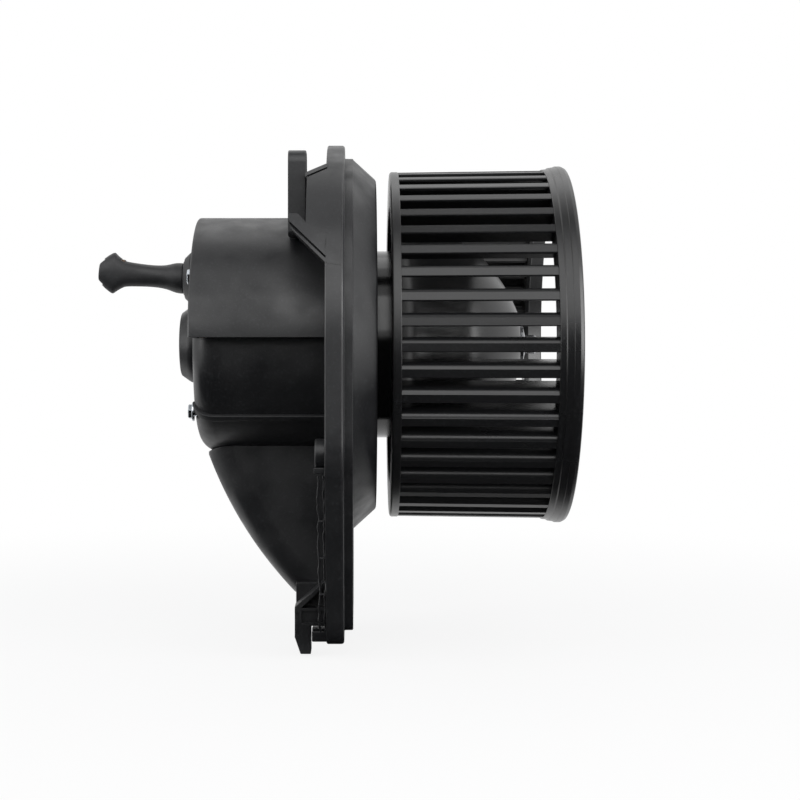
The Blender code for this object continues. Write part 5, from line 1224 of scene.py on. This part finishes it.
class BLOWER_OT_boot(bpy.types.Operator):
    """Build the moulded rubber sleeve with its fishtail mouth"""
    bl_idname = "blower.boot"
    bl_label = "Lead Sleeve"

    def execute(self, context):
        stations = [
            # share of the length, half height, half width, squareness
            (0.0, 6.3, 6.3, 2.0), (0.012, 6.5, 6.5, 2.0), (0.09, 6.3, 6.3, 2.0), (0.2, 5.2, 5.2, 2.0),
            (0.30, 4.75, 4.75, 2.1), (0.42, 4.7, 4.7, 2.3), (0.56, 4.95, 4.8, 2.4), (0.68, 5.35, 4.9, 2.5),
            (0.73, 6.05, 4.9, 2.5), (0.785, 7.35, 4.85, 2.4), (0.825, 8.55, 4.8, 2.2),
            (0.842, 8.62, 4.8, 2.1),
            (0.87, 8.2, 4.8, 2.1), (0.935, 6.5, 4.75, 2.2), (0.985, 4.6, 4.6, 2.4), (1.0, 3.8, 4.4, 2.6),
        ]
        start, end = BOOT_BOX[1].x, BOOT_BOX[0].x
        span, rise = start - end, 2.8 * MM
        rings = [boot_ring(share, high * MM, wide * MM, power, rise)
                 for share, high, wide, power in smooth_curve(stations, 3)]
        boot = loft("lead_sleeve", rings)
        bore = rod("sleeve_bore", -span, span, 3.4 * MM, 48)
        bore.data.transform(Matrix.Translation(((end + start) / 2, 0.0, GLAND_Z + rise / 2))
                            @ Matrix.Rotation(atan2(rise, span), 4, "Y"))
        wide, high, deep = 2.8 * MM, 5.4 * MM, 11.0 * MM
        mouth = block("mouth", (end - MM, -wide, GLAND_Z + rise - high),
                      (end + deep, wide, GLAND_Z + rise + high))
        cut_from(boot, bore, mouth)
        soften(boot, 0.25 * MM, 2, 62.0)
        dress(boot, FINISHES["rubber"], "housing", ["lead_boot"], 40.0)
        return {"FINISHED"}


# ---------------------------------------------------------------- carried-over nodes

class BLOWER_OT_inner_parts(bpy.types.Operator):
    """Give every solid that stays in view its own finish"""
    bl_idname = "blower.inner_parts"
    bl_label = "Inner Parts"

    def execute(self, context):
        slots = {part["node"]: part["material_slot"] for part in frame["record"]["subparts"]}
        for name, node in frame["nodes"].items():
            if node.hide_render:
                continue
            finish = FINISHES[slots[name]]
            if not node.material_slots:
                raise RuntimeError(f"{name} has no material slot")
            for held in node.material_slots:
                held.link = "OBJECT"
                held.material = finish
        return {"FINISHED"}


# ---------------------------------------------------------------- stage

def seen_white(nodes, links):
    """1 for a ray from the camera, off a glossy surface or through glass."""
    rays = nodes.new("ShaderNodeLightPath")
    seen, any_seen = nodes.new("ShaderNodeMath"), nodes.new("ShaderNodeMath")
    seen.operation = any_seen.operation = "MAXIMUM"
    links.new(rays.outputs["Is Camera Ray"], seen.inputs[0])
    links.new(rays.outputs["Is Glossy Ray"], seen.inputs[1])
    links.new(seen.outputs[0], any_seen.inputs[0])
    links.new(rays.outputs["Is Transmission Ray"], any_seen.inputs[1])
    return any_seen.outputs[0]


def blend_shaders(nodes, links, weight, first, second, out):
    mix = nodes.new("ShaderNodeMixShader")
    links.new(weight, mix.inputs["Fac"])
    links.new(first.outputs[0], mix.inputs[1])
    links.new(second.outputs[0], mix.inputs[2])
    links.new(mix.outputs[0], out.inputs["Surface"])


def stage_finish(name, tone, glow):
    """A pale surface that shows nearly white, keeps a soft shadow, and is white further out."""
    shadow_radius, white_radius = 0.16, 0.50
    finish = bpy.data.materials.new(name)
    finish.use_nodes = True
    nodes, links = finish.node_tree.nodes, finish.node_tree.links
    nodes.clear()
    out = nodes.new("ShaderNodeOutputMaterial")
    matt = nodes.new("ShaderNodeBsdfDiffuse")
    matt.inputs["Color"].default_value = (tone, tone, tone, 1.0)
    bright = nodes.new("ShaderNodeEmission")
    bright.inputs["Strength"].default_value = 1.0
    place = nodes.new("ShaderNodeTexCoord")
    reach = nodes.new("ShaderNodeVectorMath")
    reach.operation = "LENGTH"
    fade = nodes.new("ShaderNodeMapRange")
    fade.interpolation_type = "SMOOTHSTEP"
    fade.inputs["From Min"].default_value = shadow_radius
    fade.inputs["From Max"].default_value = white_radius
    fade.inputs["To Min"].default_value = glow
    fade.inputs["To Max"].default_value = 1.0
    weight = nodes.new("ShaderNodeMath")
    weight.operation = "MULTIPLY"
    links.new(place.outputs["Object"], reach.inputs[0])
    links.new(reach.outputs["Value"], fade.inputs["Value"])
    links.new(seen_white(nodes, links), weight.inputs[0])
    links.new(fade.outputs["Result"], weight.inputs[1])
    blend_shaders(nodes, links, weight.outputs[0], matt, bright, out)
    return finish


def flag(name, edges):
    """A black studio screen that only reflections see: a strip between pairs of points."""
    verts = [point for pair in edges for point in pair]
    faces = [(i, i + 2, i + 3, i + 1) for i in range(0, len(verts) - 2, 2)]
    screen = new_piece(name, verts, faces)
    screen.data.materials.append(new_finish(name + "_black", (0.004, 0.004, 0.004), 1.0, specular=0.0))
    screen.visible_camera = screen.visible_diffuse = screen.visible_shadow = False
    screen.visible_transmission = False
    return screen


def softbox(name, centre, width, height, aim, power):
    """A soft rectangular lamp that faces a point."""
    data = bpy.data.lights.new(name, "AREA")
    data.shape = "RECTANGLE"
    data.size, data.size_y = width, height
    data.energy = power
    lamp = bpy.data.objects.new(name, data)
    bpy.context.scene.collection.objects.link(lamp)
    lamp.location = centre
    lamp.rotation_euler = (Vector(aim) - Vector(centre)).to_track_quat("-Z", "Y").to_euler()
    return lamp


def room_light(fill):
    """Even light all round, which shows as white."""
    world = bpy.data.worlds.new("room")
    bpy.context.scene.world = world
    world.use_nodes = True
    nodes, links = world.node_tree.nodes, world.node_tree.links
    nodes.clear()
    out = nodes.new("ShaderNodeOutputWorld")
    even, white = nodes.new("ShaderNodeBackground"), nodes.new("ShaderNodeBackground")
    even.inputs["Color"].default_value = (0.95, 0.97, 1.0, 1.0)
    even.inputs["Strength"].default_value = fill
    white.inputs["Color"].default_value = (1.0, 1.0, 1.0, 1.0)
    blend_shaders(nodes, links, seen_white(nodes, links), even, white, out)


def polar(distance, elevation_deg, azimuth_deg):
    """A spot round the object: azimuth 0 is the camera's side, 90 the inlet's side."""
    rise, turn = radians(elevation_deg), radians(azimuth_deg)
    return (distance * cos(rise) * sin(turn), -distance * cos(rise) * cos(turn), distance * sin(rise))


class BLOWER_OT_stage(bpy.types.Operator):
    """Set up the camera, the lights, the floor and the backdrop"""
    bl_idname = "blower.stage"
    bl_label = "Stage"

    def execute(self, context):
        settings = context.scene.blower_stage
        camera = bpy.data.objects.new("camera", bpy.data.cameras.new("camera"))
        context.scene.collection.objects.link(camera)
        context.scene.camera = camera
        camera.location = (settings.aside, -settings.distance, 0.0)
        camera.rotation_euler = (pi / 2, 0.0, 0.0)
        camera.data.lens = settings.lens
        camera.data.shift_x, camera.data.shift_y = settings.shift_x, settings.shift_y
        camera.data.clip_start = 0.01
        context.scene.view_settings.view_transform = "Standard"
        floor_z = CAD_BOUNDS[0][2] - 1.0 * MM
        reach = 4.0
        square = [(-reach, -reach), (reach, -reach), (reach, reach), (-reach, reach)]
        floor = new_piece("floor", [(x, y, floor_z) for x, y in square], [(0, 1, 2, 3)])
        floor.data.materials.append(stage_finish("pale_floor", 0.80, 0.86))
        room_light(settings.fill)
        aim = (0.0, 0.0, 0.0)
        softbox("front_softbox", polar(1.0, 38.0, 0.0), 1.3, 0.80, aim, 5.0)
        softbox("back_softbox", polar(0.95, 62.0, 180.0), 1.2, 0.45, aim, 1.2)
        softbox("inlet_softbox", polar(1.0, 8.0, 58.0), 0.5, 0.9, aim, 8.0)
        softbox("lead_softbox", polar(1.1, 15.0, -70.0), 0.5, 0.8, aim, 4.0)
        screen, screen_top = 1.3, 0.19
        wall = [(screen * sin(radians(turn)), -screen * cos(radians(turn))) for turn in range(-50, 41, 5)]
        flag("camera_side_flag", [((x, y, floor_z), (x, y, screen_top)) for x, y in wall])
        table = floor_z + 0.5 * MM
        flag("table_flag", [((x, 0.0, table), (x, -screen, table)) for x in (-1.1, 1.1)])
        flag("overhead_flag", [((x, -0.28, 1.05), (x, -0.02, 1.05)) for x in (-0.9, 0.9)])
        return {"FINISHED"}


# ---------------------------------------------------------------- add-on

OPERATORS = (
    BLOWER_OT_stage, BLOWER_OT_blades, BLOWER_OT_back_plate, BLOWER_OT_rim, BLOWER_OT_flange,
    BLOWER_OT_seam, BLOWER_OT_cover, BLOWER_OT_shell, BLOWER_OT_duct, BLOWER_OT_bearing_cap,
    BLOWER_OT_motor_can, BLOWER_OT_screws, BLOWER_OT_gland, BLOWER_OT_boot, BLOWER_OT_inner_parts,
)


class BLOWER_PT_panel(bpy.types.Panel):
    bl_idname = "BLOWER_PT_panel"
    bl_label = "Heater Blower"
    bl_space_type = "VIEW_3D"
    bl_region_type = "UI"
    bl_category = "Blower"

    def draw(self, context):
        for operator in OPERATORS:
            self.layout.operator(operator.bl_idname)


SETTINGS = {
    "blower_wheel_sizes": BlowerWheelSizes,
    "blower_flange_sizes": BlowerFlangeSizes,
    "blower_housing_sizes": BlowerHousingSizes,
    "blower_finishes": BlowerFinishes,
    "blower_stage": BlowerStage,
}


def register():
    for group in (*SETTINGS.values(), *OPERATORS, BLOWER_PT_panel):
        bpy.utils.register_class(group)
    for name, group in SETTINGS.items():
        setattr(bpy.types.Scene, name, PointerProperty(type=group))


def unregister():
    for name in SETTINGS:
        delattr(bpy.types.Scene, name)
    for group in reversed((*SETTINGS.values(), *OPERATORS, BLOWER_PT_panel)):
        bpy.utils.unregister_class(group)


def main():
    register()
    FINISHES.update(make_finishes(bpy.context.scene.blower_finishes))
    for operator in OPERATORS:
        family, action = operator.bl_idname.split(".")
        getattr(getattr(bpy.ops, family), action)()


if __name__ == "__main__":
    main()
